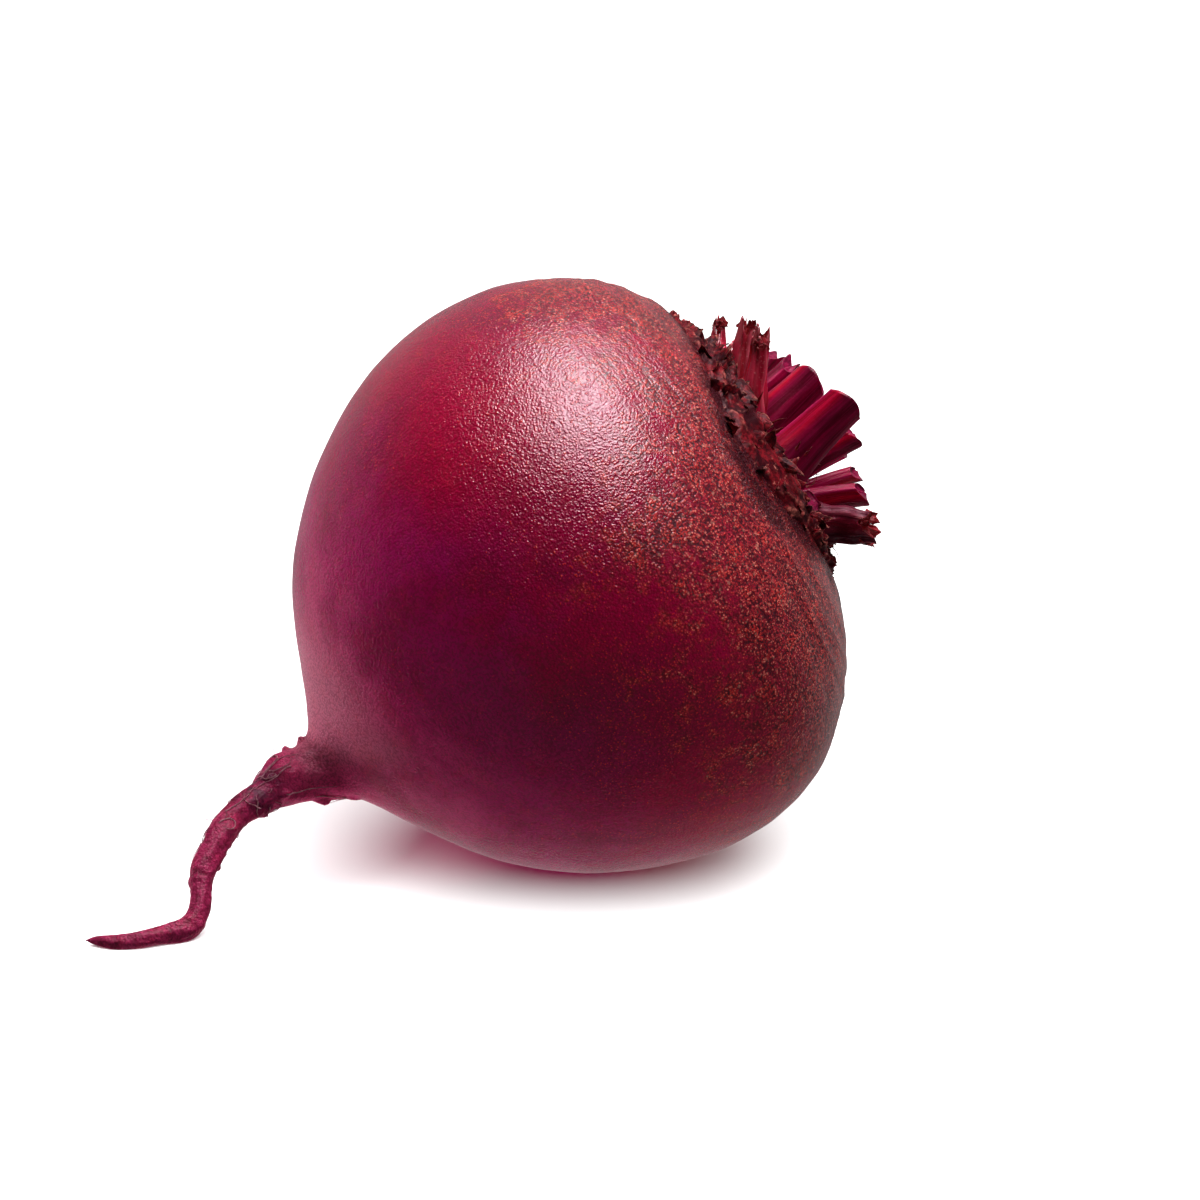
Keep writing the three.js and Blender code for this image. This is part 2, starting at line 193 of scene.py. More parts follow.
class BeetPose:
    """How the bulb and its crown lie in the model's frame."""

    axis = Vector((math.cos(AXIS_RISE), 0.0, math.sin(AXIS_RISE)))
    upright = Vector((-math.sin(AXIS_RISE), 0.0, math.cos(AXIS_RISE)))
    near = Vector((0.0, -1.0, 0.0))

    def __init__(self) -> None:
        """Finds the bulb's centre and the frames of its crown."""
        self.centre = self._bulb_centre()
        basis = Matrix((self.upright, self.near, self.axis)).transposed()
        turned = basis @ Matrix.Rotation(-CROWN_TURN, 3, "Z") @ Matrix.Rotation(-CROWN_NOD, 3, "X")
        place = Matrix.Translation(self.spine_middle(CROWN_ALONG))
        self.crown = place @ turned.to_4x4()
        self.drooped = place @ (turned @ Matrix.Rotation(-CROWN_DROOP, 3, "Y")).to_4x4()
        self.crown_heading = (self.drooped.to_3x3() @ Vector((0, 0, 1))).normalized()

    def _bulb_centre(self) -> Vector:
        """The bulb's centre, as high as the tilted outline reaches below it, less the flat spot."""
        lowest = Vector((0.0, 0.0))
        for step in range(OUTLINE_STEPS + 1):
            along, out = spline(BULB_OUTLINE, step / OUTLINE_STEPS)
            low = Vector((along * self.axis.x + out * self.axis.z, along * self.axis.z - out * self.axis.x))
            if low.y < lowest.y:
                lowest = low
        return Vector((-lowest.x * BULB_RADIUS, 0.0, -lowest.y * BULB_RADIUS - REST_DEPTH))

    def spine_middle(self, along: float) -> Vector:
        """The middle of the bulb at a distance along its gently bent axis."""
        bend = (max(along, 0.0) / CROWN_ALONG) ** 2
        sag = smooth_share(-along, *NECK_SAG)
        off_axis = self.upright * (CROWN_UP * bend - NECK_DROP * sag) + self.near * CROWN_NEAR * bend
        return self.centre + self.axis * along + off_axis

    def in_beet_frame(self) -> Matrix:
        """The matrix that takes metres in the model's frame to millimetres across, near and along."""
        basis = Matrix((self.upright, self.near, self.axis)).to_4x4()
        return basis @ Matrix.Translation(-self.centre) @ Matrix.Scale(1 / MM, 4)


POSE = BeetPose()


@dataclass(frozen=True)
class Ring:
    """One cross-section of the root: where it is, how wide, and which way it faces."""

    middle: Vector
    across: Vector
    side: Vector
    radius: float
    along: float

    def way(self, turn: float) -> Vector:
        """The way out from the middle at a turn."""
        return self.across * math.cos(turn) + self.side * math.sin(turn)


class RootForm:
    """The outline of the bulb and its tail, as rings along a spine."""

    def __init__(self) -> None:
        """Lays out the stations that the rings pass through."""
        self.middles: list[Vector] = []
        self.headings: list[Vector] = []
        self.sizes: list[tuple[float, float]] = []
        for share, out in BULB_OUTLINE:
            along = share * BULB_RADIUS
            blend = min(max(along / CROWN_ALONG, 0.0), 1.0) ** 1.5
            self.middles.append(POSE.spine_middle(along))
            self.headings.append(POSE.axis.lerp(POSE.crown_heading, blend).normalized())
            self.sizes.append((out * BULB_RADIUS, along))
        for x, y, z, radius in TAIL:
            middle = Vector((x, y, z))
            step = self.middles[-1] - middle
            if len(self.middles) > len(BULB_OUTLINE):
                self.headings[-1] = (self.headings[-1] + step.normalized()).normalized()
            self.middles.append(middle)
            self.headings.append(step.normalized())
            self.sizes.append((radius, self.sizes[-1][1] - step.length))

    def rings(self, count: int) -> list[Ring]:
        """Rings from the crown's middle to the tip of the tail.

        Args:
            count: How many gaps there are between the rings.

        Returns:
            The rings, one more than count.
        """
        found: list[Ring] = []
        across = POSE.upright.copy()
        for index in range(count + 1):
            share = index / count
            heading = spline(self.headings, share).normalized()
            across = (across - heading * across.dot(heading)).normalized()
            radius, along = spline(self.sizes, share)
            radius = 0.0 if index in (0, count) else max(radius, THINNEST)
            found.append(Ring(spline(self.middles, share), across, across.cross(heading), radius, along))
        return found

    @staticmethod
    def broad_relief(along: float, turn: float, radius: float) -> float:
        """The lobes, folds and side-root stumps that the solid has too, in millimetres."""
        on_bulb = smooth_share(along, -46, -30)
        near_crown = smooth_share(along, 20, 27) * (1 - smooth_share(along, 32, 34))
        facing = math.sin(turn - CROWN_TURN) ** 2
        lobes = 0.007 * math.cos(3 * turn + 0.03 * along) + 0.006 * math.sin(0.07 * along + 2 * turn)
        folds = 0.035 * math.cos(5 * turn + 0.8 * along) + 0.04 * math.sin(1.1 * along)
        height = radius * lobes * facing * on_bulb + min(radius, 3.0) * folds * (1 - on_bulb)
        height += 0.12 * math.sin(2.4 * along + 0.6 * math.sin(3 * turn)) * near_crown
        for below, degrees, tall, half in SIDE_ROOT_STUMPS:
            round_way = math.remainder(turn - math.radians(degrees), math.tau)
            away = math.hypot(round_way * radius, along + below) / (0.6 * half)
            if away < 3:
                height += 0.6 * tall * math.exp(-(away**3))
        return height

    def surface(self, rings: Sequence[Ring], place: float, turn: float) -> tuple[Vector, Vector]:
        """A point on the root's surface and the way that it faces.

        Args:
            rings: The rings of the root.
            place: The number of the ring, which may lie between two.
            turn: The turn round it.

        Returns:
            The point, and its direction away from the root's middle.
        """
        first = min(max(int(place), 0), len(rings) - 2)
        share = place - first
        points: list[Vector] = []
        ways: list[Vector] = []
        for ring in rings[first : first + 2]:
            reach = ring.radius + self.broad_relief(ring.along, turn, ring.radius)
            points.append(ring.middle + ring.way(turn) * reach)
            ways.append(ring.way(turn))
        return points[0].lerp(points[1], share), ways[0].lerp(ways[1], share).normalized()


Surface = Callable[[float, float], Vector]


def uv_layer(bm: bmesh.types.BMesh) -> bmesh.types.BMLayerItem:
    """The mesh's UV map, which keeps each point's share of the turn and of the length."""
    return bm.loops.layers.uv.get("UVMap") or bm.loops.layers.uv.new("UVMap")


def shell(bm: bmesh.types.BMesh, around: int, along: int, place: Surface) -> None:
    """Rolls a grid into a closed form and adds it to a mesh.

    Args:
        bm: The mesh to add to.
        around: How many faces go round.
        along: How many faces go from the first end to the last.
        place: Gives the point, in millimetres, for a turn share and a length share from 0 to 1.
    """
    made = bmesh.ops.create_grid(bm, x_segments=around, y_segments=along, size=1.0)
    uv = uv_layer(bm)
    shares = {v: ((v.co.x + 1) / 2, (v.co.y + 1) / 2) for v in made["verts"]}
    faces = {f for v in made["verts"] for f in v.link_faces}
    for face in faces:
        face.smooth = True
        for loop in face.loops:
            loop[uv].uv = shares[loop.vert]
    for vert, (turn, length) in shares.items():
        vert.co = place(turn if turn < SEAM_SHARE else 0.0, length) * MM
    bmesh.ops.remove_doubles(bm, verts=made["verts"], dist=WELD)


def fill_ends(bm: bmesh.types.BMesh, verts: Iterable[bmesh.types.BMVert]) -> None:
    """Closes the open ends that some of a mesh's points lie on."""
    rims = dict.fromkeys(edge for vert in verts for edge in vert.link_edges if edge.is_boundary)
    bmesh.ops.holes_fill(bm, edges=list(rims), sides=0)


def finished(bm: bmesh.types.BMesh, name: str, materials: Sequence[bpy.types.Material]) -> bpy.types.Object:
    """Makes an object of a mesh, with its normals outward, riding on the root body.

    Args:
        bm: The mesh, which is freed.
        name: The new piece's name.
        materials: The piece's finishes, in the order of its faces' numbers.

    Returns:
        The new object.
    """
    bmesh.ops.recalc_face_normals(bm, faces=bm.faces)
    mesh = bpy.data.meshes.new(name)
    bm.to_mesh(mesh)
    bm.free()
    for material in materials:
        mesh.materials.append(material)
    piece = bpy.data.objects.new(name, mesh)
    bpy.context.scene.collection.objects.link(piece)
    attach(piece, "root")
    log.info("%s: %d faces", name, len(mesh.polygons))
    return piece


Socket = bpy.types.NodeSocket
Value = Socket | float | Sequence[float]


class Graph:
    """Adds nodes to a node tree and links them."""

    def __init__(self, tree: bpy.types.NodeTree) -> None:
        """Keeps the tree to work on."""
        self.tree = tree

    def node(
        self, kind: str, inputs: dict[str | int, Value] | None = None, **settings: object
    ) -> bpy.types.Node:
        """Adds a node.

        Args:
            kind: The node's type.
            inputs: Values or sockets for its inputs, by name or number.
            settings: The node's own settings.

        Returns:
            The new node.
        """
        made = self.tree.nodes.new(kind)
        for key, value in settings.items():
            setattr(made, key, value)
        for key, value in (inputs or {}).items():
            self.feed(value, made.inputs[key])
        return made

    def feed(self, value: Value, target: Socket) -> None:
        """Links a socket to an input, or writes a plain value there."""
        if isinstance(value, bpy.types.NodeSocket):
            self.tree.links.new(value, target)
        else:
            target.default_value = value

    def math(self, operation: str, first: Value, second: Value = 0.0) -> Socket:
        """The result of a sum on numbers."""
        return self.node("ShaderNodeMath", {0: first, 1: second}, operation=operation).outputs[0]

    def ease(self, value: Value, low: Value, high: Value, start: Value = 0.0, end: Value = 1.0) -> Socket:
        """A value moved smoothly from the range low to high into the range start to end."""
        inputs = {"Value": value, "From Min": low, "From Max": high, "To Min": start, "To Max": end}
        return self.node("ShaderNodeMapRange", inputs, interpolation_type="SMOOTHSTEP").outputs[0]

    def mix(self, share: Value, first: Value, second: Value) -> Socket:
        """A mix of two colours."""
        made = self.node("ShaderNodeMix", data_type="RGBA")
        colours = [s for s in made.inputs if s.type == "RGBA"]
        self.feed(share, made.inputs[0])
        self.feed(first, colours[0])
        self.feed(second, colours[1])
        return next(s for s in made.outputs if s.type == "RGBA")

    def noise(
        self, vector: Value, scale: float, detail: float = 2.0, rough: float = 0.5, warp: float = 0.0
    ) -> Socket:
        """A cloudy pattern from 0 to 1."""
        inputs = {"Vector": vector, "Scale": scale, "Detail": detail, "Roughness": rough, "Distortion": warp}
        return self.node("ShaderNodeTexNoise", inputs).outputs["Fac"]

    def stretched(self, vector: Value, scale: Sequence[float]) -> Socket:
        """A vector scaled along its own axes."""
        return self.node("ShaderNodeMapping", {"Vector": vector, "Scale": scale}).outputs[0]


def shared_group(
    name: str, inputs: dict[str, tuple[str, float]], outputs: Sequence[str]
) -> tuple[bpy.types.NodeTree, Graph, bpy.types.Node, bpy.types.Node]:
    """Starts a shader node group.

    Args:
        name: The group's name.
        inputs: For each input, its kind of socket and its first value.
        outputs: The names of the outputs, all plain numbers.

    Returns:
        The group, a graph to fill it with, and its input and output nodes.
    """
    tree = bpy.data.node_groups.new(name, "ShaderNodeTree")
    for label, (kind, start) in inputs.items():
        socket = tree.interface.new_socket(name=label, in_out="INPUT", socket_type=kind)
        if kind == "NodeSocketFloat":
            socket.default_value = start
    for label in outputs:
        tree.interface.new_socket(name=label, in_out="OUTPUT", socket_type="NodeSocketFloat")
    graph = Graph(tree)
    return tree, graph, graph.node("NodeGroupInput"), graph.node("NodeGroupOutput")


def pebble_group() -> bpy.types.NodeTree:
    """The fine pebbled grain of the skin: rounded bumps with pits between them.

    Returns:
        The group, with a Height to bump with, and masks for Pits and for raised Specks.
    """
    sockets = {"Vector": ("NodeSocketVector", 0.0), "Size": ("NodeSocketFloat", 0.6)}
    tree, graph, given, result = shared_group("SkinPebbles", sockets, ("Height", "Pits", "Specks"))
    scale = graph.math("DIVIDE", 1.0, given.outputs["Size"])
    cells = graph.node(
        "ShaderNodeTexVoronoi",
        {"Vector": given.outputs["Vector"], "Scale": scale, "Randomness": 1.0},
        feature="F1",
    )
    fine = graph.node(
        "ShaderNodeTexNoise",
        {"Vector": given.outputs["Vector"], "Scale": scale, "Detail": 2.2, "Roughness": 0.6},
    )
    bumps = graph.ease(cells.outputs["Distance"], 0.05, 0.75, 1.0, 0.0)
    clouds = graph.math("MULTIPLY", fine.outputs["Fac"], 0.9)
    height = graph.math("ADD", graph.math("MULTIPLY", bumps, 0.45), clouds)
    graph.feed(height, result.inputs["Height"])
    graph.feed(graph.ease(height, 0.60, 0.46), result.inputs["Pits"])
    graph.feed(graph.ease(height, 0.73, 0.95), result.inputs["Specks"])
    return tree


def streak_group() -> bpy.types.NodeTree:
    """Long streaks and ribs that run along a stalk or a scale.

    Returns:
        The group, with a Height to bump with and masks for the Light and the Dark streaks.
    """
    sockets = {
        "Vector": ("NodeSocketVector", 0.0),
        "Count": ("NodeSocketFloat", 24.0),
        "Length": ("NodeSocketFloat", 1.0),
    }
    tree, graph, given, result = shared_group("LengthStreaks", sockets, ("Height", "Light", "Dark"))
    split = graph.node("ShaderNodeSeparateXYZ", {0: given.outputs["Vector"]})
    turn = graph.math("MULTIPLY", split.outputs[0], math.tau)
    reach = graph.math("DIVIDE", given.outputs["Count"], math.tau)
    round_x = graph.math("MULTIPLY", graph.math("COSINE", turn), reach)
    round_y = graph.math("MULTIPLY", graph.math("SINE", turn), reach)
    run = graph.math("MULTIPLY", split.outputs[1], given.outputs["Length"])
    joined = graph.node("ShaderNodeCombineXYZ", {0: round_x, 1: round_y, 2: run})
    height = graph.noise(joined.outputs[0], 1.0, 2.0, 0.55)
    graph.feed(height, result.inputs["Height"])
    graph.feed(graph.ease(height, 0.52, 0.66), result.inputs["Light"])
    graph.feed(graph.ease(height, 0.48, 0.36), result.inputs["Dark"])
    return tree


@dataclass(frozen=True)
class Finish:
    """What every finish of the beetroot shares: a name, a gloss and how its groups are placed."""

    name: str
    roughness: float = 0.45
    specular: float = 0.5
    coat: float = 0.0
    coat_roughness: float = 0.1
    gloss_tint: tuple[float, ...] = (1.0, 0.92, 0.96, 1)

    def start(self) -> tuple[bpy.types.Material, Graph, bpy.types.Node]:
        """Makes the material with its Principled shader.

        Returns:
            The material, a graph on its nodes and its shader node.
        """
        material = bpy.data.materials.new(self.name)
        material.use_nodes = True
        graph = Graph(material.node_tree)
        shader = material.node_tree.nodes["Principled BSDF"]
        shader.inputs["Roughness"].default_value = self.roughness
        shader.inputs["Specular IOR Level"].default_value = self.specular
        shader.inputs["Coat Weight"].default_value = self.coat
        shader.inputs["Coat Roughness"].default_value = self.coat_roughness
        shader.inputs["Specular Tint"].default_value = self.gloss_tint
        return material, graph, shader

    @staticmethod
    def beet_place(graph: Graph) -> tuple[Socket, Socket]:
        """Where a point lies on the beet, in millimetres across, near and along.

        Args:
            graph: The material's graph.

        Returns:
            The place as a vector, and how far it lies across the bulb's axis, upward.
        """
        matrix = POSE.in_beet_frame()
        coords = graph.node("ShaderNodeTexCoord").outputs["Object"]
        inputs = {
            "Vector": coords,
            "Location": matrix.translation,
            "Rotation": (matrix.to_3x3() * MM).to_euler(),
            "Scale": (1 / MM, 1 / MM, 1 / MM),
        }
        mapping = graph.node("ShaderNodeMapping", inputs)
        split = graph.node("ShaderNodeSeparateXYZ", {0: mapping.outputs[0]})
        return mapping.outputs[0], split.outputs[0]

    @staticmethod
    def use(graph: Graph, group: bpy.types.NodeTree, inputs: dict[str | int, Value]) -> bpy.types.Node:
        """Places a shared group in the material."""
        made = graph.node("ShaderNodeGroup", node_tree=group)
        for key, value in inputs.items():
            graph.feed(value, made.inputs[key])
        return made

    @staticmethod
    def bump(
        graph: Graph, height: Value, distance: float, strength: float = 1.0, below: Socket | None = None
    ) -> Socket:
        """A bumped normal, on top of another one if it is given."""
        inputs: dict[str | int, Value] = {"Height": height, "Distance": distance * MM, "Strength": strength}
        if below is not None:
            inputs["Normal"] = below
        return graph.node("ShaderNodeBump", inputs).outputs[0]


@dataclass(frozen=True)
class SkinMarks:
    """What the skin's colours and relief are worked out from: places, cloudy patterns and zones."""

    place: Socket
    across: Socket
    along: Socket
    rim: Socket
    cloud: Socket
    blotch: Socket
    mottle: Socket
    rings: Socket
    creases: Socket
    by_crown: Socket
    corky: Socket
    neck: Socket
    tail: Socket
    left: Socket
    fine: bpy.types.Node
    coarse: bpy.types.Node


@dataclass(frozen=True)
class SkinFinish(Finish):
    """The beet's skin: crimson and maroon, mauve at the neck, speckled and corky by the crown."""

    crimson: tuple[float, ...] = (0.39, 0.0015, 0.046, 1)
    magenta: tuple[float, ...] = (0.42, 0.005, 0.105, 1)
    maroon: tuple[float, ...] = (0.26, 0.004, 0.045, 1)
    ember: tuple[float, ...] = (0.82, 0.038, 0.03, 1)
    # painted light: the brighter crimson of a spot where the light falls fully on the bulb
    painted_light: tuple[float, ...] = (0.50, 0.003, 0.045, 1)
    rust: tuple[float, ...] = (0.45, 0.026, 0.034, 1)
    salmon: tuple[float, ...] = (0.90, 0.33, 0.25, 1)
    umber: tuple[float, ...] = (0.075, 0.006, 0.014, 1)
    mauve: tuple[float, ...] = (0.70, 0.055, 0.18, 1)
    # painted highlight: the pale colour of a soft shine along the upper side of the neck
    pale: tuple[float, ...] = (0.60, 0.15, 0.24, 1)
    bruise: tuple[float, ...] = (0.09, 0.012, 0.05, 1)
    tail: tuple[float, ...] = (0.27, 0.010, 0.058, 1)
    bark: tuple[float, ...] = (0.055, 0.004, 0.009, 1)

    # The zones, as (where each starts, where it is full), in millimetres along the axis from the centre
    corky_zone: tuple[float, float] = (-4.0, 24.0)
    left_zone: tuple[float, float] = (-6.0, -26.0)
    neck_zone: tuple[float, float] = (-28.0, -46.0)
    # the painted highlight on the neck: where it starts and is full, and where it has faded
    painted_highlight_zone: tuple[float, float] = (-32.0, -40.0)
    painted_highlight_end: tuple[float, float] = (-50.0, -44.0)
    waist_zone: tuple[float, float] = (-50.0, -52.5)
    waist_end: tuple[float, float] = (-60.0, -55.0)
    tail_zone: tuple[float, float] = (-47.0, -57.0)
    dull_zone: tuple[float, float] = (-34.0, -46.0)
    painted_light_spot: tuple[float, float, float] = (36.1, 20.9, -4.5)  # the middle of the spot of painted light: across, near and along
    painted_light_reach: tuple[float, float] = (18.0, 4.0)  # how far from its middle the painted light starts, and where it is full

    # The relief: the size of its grains, and how deep each pattern is, in millimetres
    fine_grain: float = 0.36
    coarse_grain: float = 0.8
    fine_depth: float = 0.10
    coarse_depth: float = 0.05
    ridge_depth: float = 0.25
    crinkle_depth: float = 1.4
    wrinkle_depth: float = 0.2

    # The gloss: how much rougher the corky skin and the tail are, and the specular level where it is dull
    corky_rough: float = 0.10
    tail_rough: float = 0.2
    dull_specular: float = 0.05

    def marks(self, graph: Graph, pebbles: bpy.types.NodeTree) -> SkinMarks:
        """Finds the places, patterns and zones of the skin.

        Args:
            graph: The material's graph.
            pebbles: The group of the fine grain.

        Returns:
            The sockets that hold them.
        """
        place, across = self.beet_place(graph)
        along = graph.node("ShaderNodeAttribute", attribute_name="along").outputs["Fac"]
        drift = graph.noise(place, 0.09, 3.0, 0.6)
        cloud = graph.noise(place, 0.055, 4.0, 0.6, 0.6)
        blotch = graph.noise(place, 0.35, 4.0, 0.65)
        mottle = graph.noise(place, 1.1, 3.0, 0.7)
        by_crown = graph.math("ADD", along, graph.ease(drift, 0.3, 0.7, -7.0, 7.0))
        by_crown = graph.math("ADD", by_crown, graph.ease(blotch, 0.3, 0.7, -6.0, 6.0))
        by_crown = graph.math("ADD", by_crown, graph.ease(mottle, 0.3, 0.7, -4.0, 4.0))
        by_crown = graph.math("ADD", by_crown, graph.ease(across, 14.0, 28.0, 4.0, -8.0))
        by_neck = graph.math("ADD", along, graph.ease(cloud, 0.3, 0.7, -6.0, 6.0))
        by_left = graph.math("ADD", along, graph.ease(drift, 0.3, 0.7, 6.0, -6.0))
        return SkinMarks(
            place=place,
            across=across,
            along=along,
            rim=graph.node("ShaderNodeAttribute", attribute_name="rim").outputs["Fac"],
            cloud=cloud,
            blotch=blotch,
            mottle=mottle,
            rings=graph.noise(graph.stretched(place, (0.16, 0.16, 1.3)), 0.75, 4.0, 0.62, 0.4),
            creases=graph.noise(graph.stretched(place, (0.5, 0.5, 0.5)), 1.0, 5.0, 0.65),
            by_crown=by_crown,
            corky=graph.ease(by_crown, *self.corky_zone),
            neck=graph.ease(by_neck, *self.neck_zone),
            tail=graph.ease(along, *self.tail_zone),
            left=graph.ease(by_left, *self.left_zone),
            fine=self.use(graph, pebbles, {"Vector": place, "Size": self.fine_grain}),
            coarse=self.use(graph, pebbles, {"Vector": place, "Size": self.coarse_grain}),
        )

    def broad_colour(self, graph: Graph, at: SkinMarks) -> Socket:
        """The colour of the skin's broad zones, from the crown's rust to the tail, with a spot of painted
        light and a painted highlight on the neck.

        Args:
            graph: The material's graph.
            at: The places, patterns and zones.

        Returns:
            The colour.
        """
        colour = graph.mix(at.left, self.crimson, self.magenta)
        colour = graph.mix(graph.math("MULTIPLY", graph.ease(at.cloud, 0.42, 0.68), 0.7), colour, self.maroon)
        # Painted light: a spot of brighter crimson on the bulb's upper near side, where the overhead light
        # falls.
        spot = graph.node("ShaderNodeVectorMath", {0: at.place, 1: self.painted_light_spot}, operation="DISTANCE")
        painted_light_share = graph.ease(spot.outputs["Value"], *self.painted_light_reach, 0.0, 0.8)
        colour = graph.mix(painted_light_share, colour, self.painted_light)
        colour = graph.mix(graph.math("MULTIPLY", at.neck, 0.8), colour, self.mauve)
        # Painted highlight: a pale streak on the upper side of the neck, where a soft shine would lie.
        painted_neck_highlight = graph.math(
            "MULTIPLY", graph.ease(at.along, *self.painted_highlight_zone), graph.ease(at.along, *self.painted_highlight_end)
        )
        painted_neck_highlight = graph.math("MULTIPLY", painted_neck_highlight, graph.ease(at.across, -1.0, 4.0, 0.0, 0.75))
        colour = graph.mix(painted_neck_highlight, colour, self.pale)
        by_tail = graph.math("MULTIPLY", at.tail, graph.ease(at.mottle, 0.3, 0.7, 0.9, 0.3))
        colour = graph.mix(by_tail, colour, self.tail)
        waist = graph.math(
            "MULTIPLY", graph.ease(at.along, *self.waist_zone), graph.ease(at.along, *self.waist_end)
        )
        bruised = graph.math("MULTIPLY", waist, graph.ease(at.blotch, 0.42, 0.6))
        colour = graph.mix(bruised, colour, self.bruise)
        return graph.mix(graph.math("MULTIPLY", at.corky, 0.85), colour, self.rust)

    def fine_colour(self, graph: Graph, at: SkinMarks, colour: Socket) -> Socket:
        """The specks, pits, grains and dark folds, over the broad colour.

        Args:
            graph: The material's graph.
            at: The places, patterns and zones.
            colour: The colour of the broad zones.

        Returns:
            The colour with its fine marks.
        """
        warm_share = graph.ease(at.corky, 0.0, 1.0, 0.08, 0.6)
        warm = graph.math("MULTIPLY", graph.ease(at.blotch, 0.48, 0.66), warm_share)
        colour = graph.mix(warm, colour, self.ember)
        ring_share = graph.math("MULTIPLY", at.corky, 0.6)
        dark_rings = graph.math("MULTIPLY", graph.ease(at.rings, 0.50, 0.36), ring_share)
        colour = graph.mix(dark_rings, colour, self.umber)
        pits = graph.math("MULTIPLY", at.fine.outputs["Pits"], graph.ease(at.corky, 0.0, 1.0, 0.35, 1.0))
        colour = graph.mix(pits, colour, self.umber)
        rarer = graph.math("ADD", at.fine.outputs["Height"], graph.ease(at.by_crown, -36.0, 22.0, -0.2, 0.0))
        rarer = graph.math("ADD", rarer, graph.ease(at.cloud, 0.3, 0.7, -0.05, 0.05))
        colour = graph.mix(graph.ease(rarer, 0.76, 0.86, 0.0, 0.85), colour, self.ember)
        patches = graph.ease(at.mottle, 0.36, 0.6, 0.15, 1.0)
        grains = graph.math("MULTIPLY", graph.ease(at.corky, 0.2, 1.0), patches)
        colour = graph.mix(graph.math("MULTIPLY", at.fine.outputs["Specks"], grains), colour, self.salmon)
        flecks = graph.math("MULTIPLY", at.coarse.outputs["Specks"], graph.math("MULTIPLY", grains, 0.4))
        colour = graph.mix(flecks, colour, self.salmon)
        dark_share = graph.math("MULTIPLY", at.corky, 0.35)
        colour = graph.mix(
            graph.math("MULTIPLY", at.coarse.outputs["Pits"], dark_share), colour, self.umber
        )
        rim_grain = graph.math("MAXIMUM", graph.ease(at.rings, 0.45, 0.62), graph.ease(at.mottle, 0.5, 0.66))
        by_band = graph.math("MULTIPLY", at.rim, graph.ease(rim_grain, 0.0, 1.0, 1.0, 0.6))
        colour = graph.mix(by_band, colour, self.bark)
        fold_share = graph.math("MULTIPLY", at.tail, 0.5)
        dark_folds = graph.math("MULTIPLY", graph.ease(at.creases, 0.5, 0.36), fold_share)
        return graph.mix(dark_folds, colour, self.umber)

    def relief(self, graph: Graph, at: SkinMarks) -> Socket:
        """The bumped normal: grain all over, ridges by the crown, crinkles at its rim, tail creases."""
        normal = self.bump(graph, at.fine.outputs["Height"], self.fine_depth)
        normal = self.bump(graph, at.coarse.outputs["Height"], self.coarse_depth, 1.0, normal)
        ridge = graph.math("MULTIPLY", at.rings, graph.ease(at.along, *self.corky_zone, 0.04, 1.0))
        normal = self.bump(graph, ridge, self.ridge_depth, 1.0, normal)
        crinkle = graph.math("ABSOLUTE", graph.math("SUBTRACT", at.mottle, 0.5))
        crinkle = graph.math("MULTIPLY", crinkle, at.rim)
        normal = self.bump(graph, crinkle, self.crinkle_depth, 1.0, normal)
        wrinkle = graph.math("MULTIPLY", at.creases, at.tail)
        return self.bump(graph, wrinkle, self.wrinkle_depth, 1.0, normal)

    def build(self, pebbles: bpy.types.NodeTree) -> bpy.types.Material:
        """Makes the skin's material.

        Args:
            pebbles: The group of the fine grain.

        Returns:
            The material.
        """
        material, graph, shader = self.start()
        at = self.marks(graph, pebbles)
        colour = self.fine_colour(graph, at, self.broad_colour(graph, at))
        graph.feed(colour, shader.inputs["Base Color"])
        by_grain = graph.ease(at.fine.outputs["Height"], 0.4, 0.9, 0.05, -0.04)
        by_zone = graph.ease(at.corky, 0.0, 1.0, self.roughness, self.roughness + self.corky_rough)
        by_zone = graph.math("ADD", by_zone, graph.math("MULTIPLY", at.tail, self.tail_rough))
        graph.feed(graph.math("ADD", by_grain, by_zone), shader.inputs["Roughness"])
        dull = graph.math("MAXIMUM", graph.ease(at.along, *self.dull_zone), at.rim)
        gloss = graph.ease(dull, 0.0, 1.0, self.specular, self.dull_specular)
        graph.feed(gloss, shader.inputs["Specular IOR Level"])
        graph.feed(self.relief(graph, at), shader.inputs["Normal"])
        return material


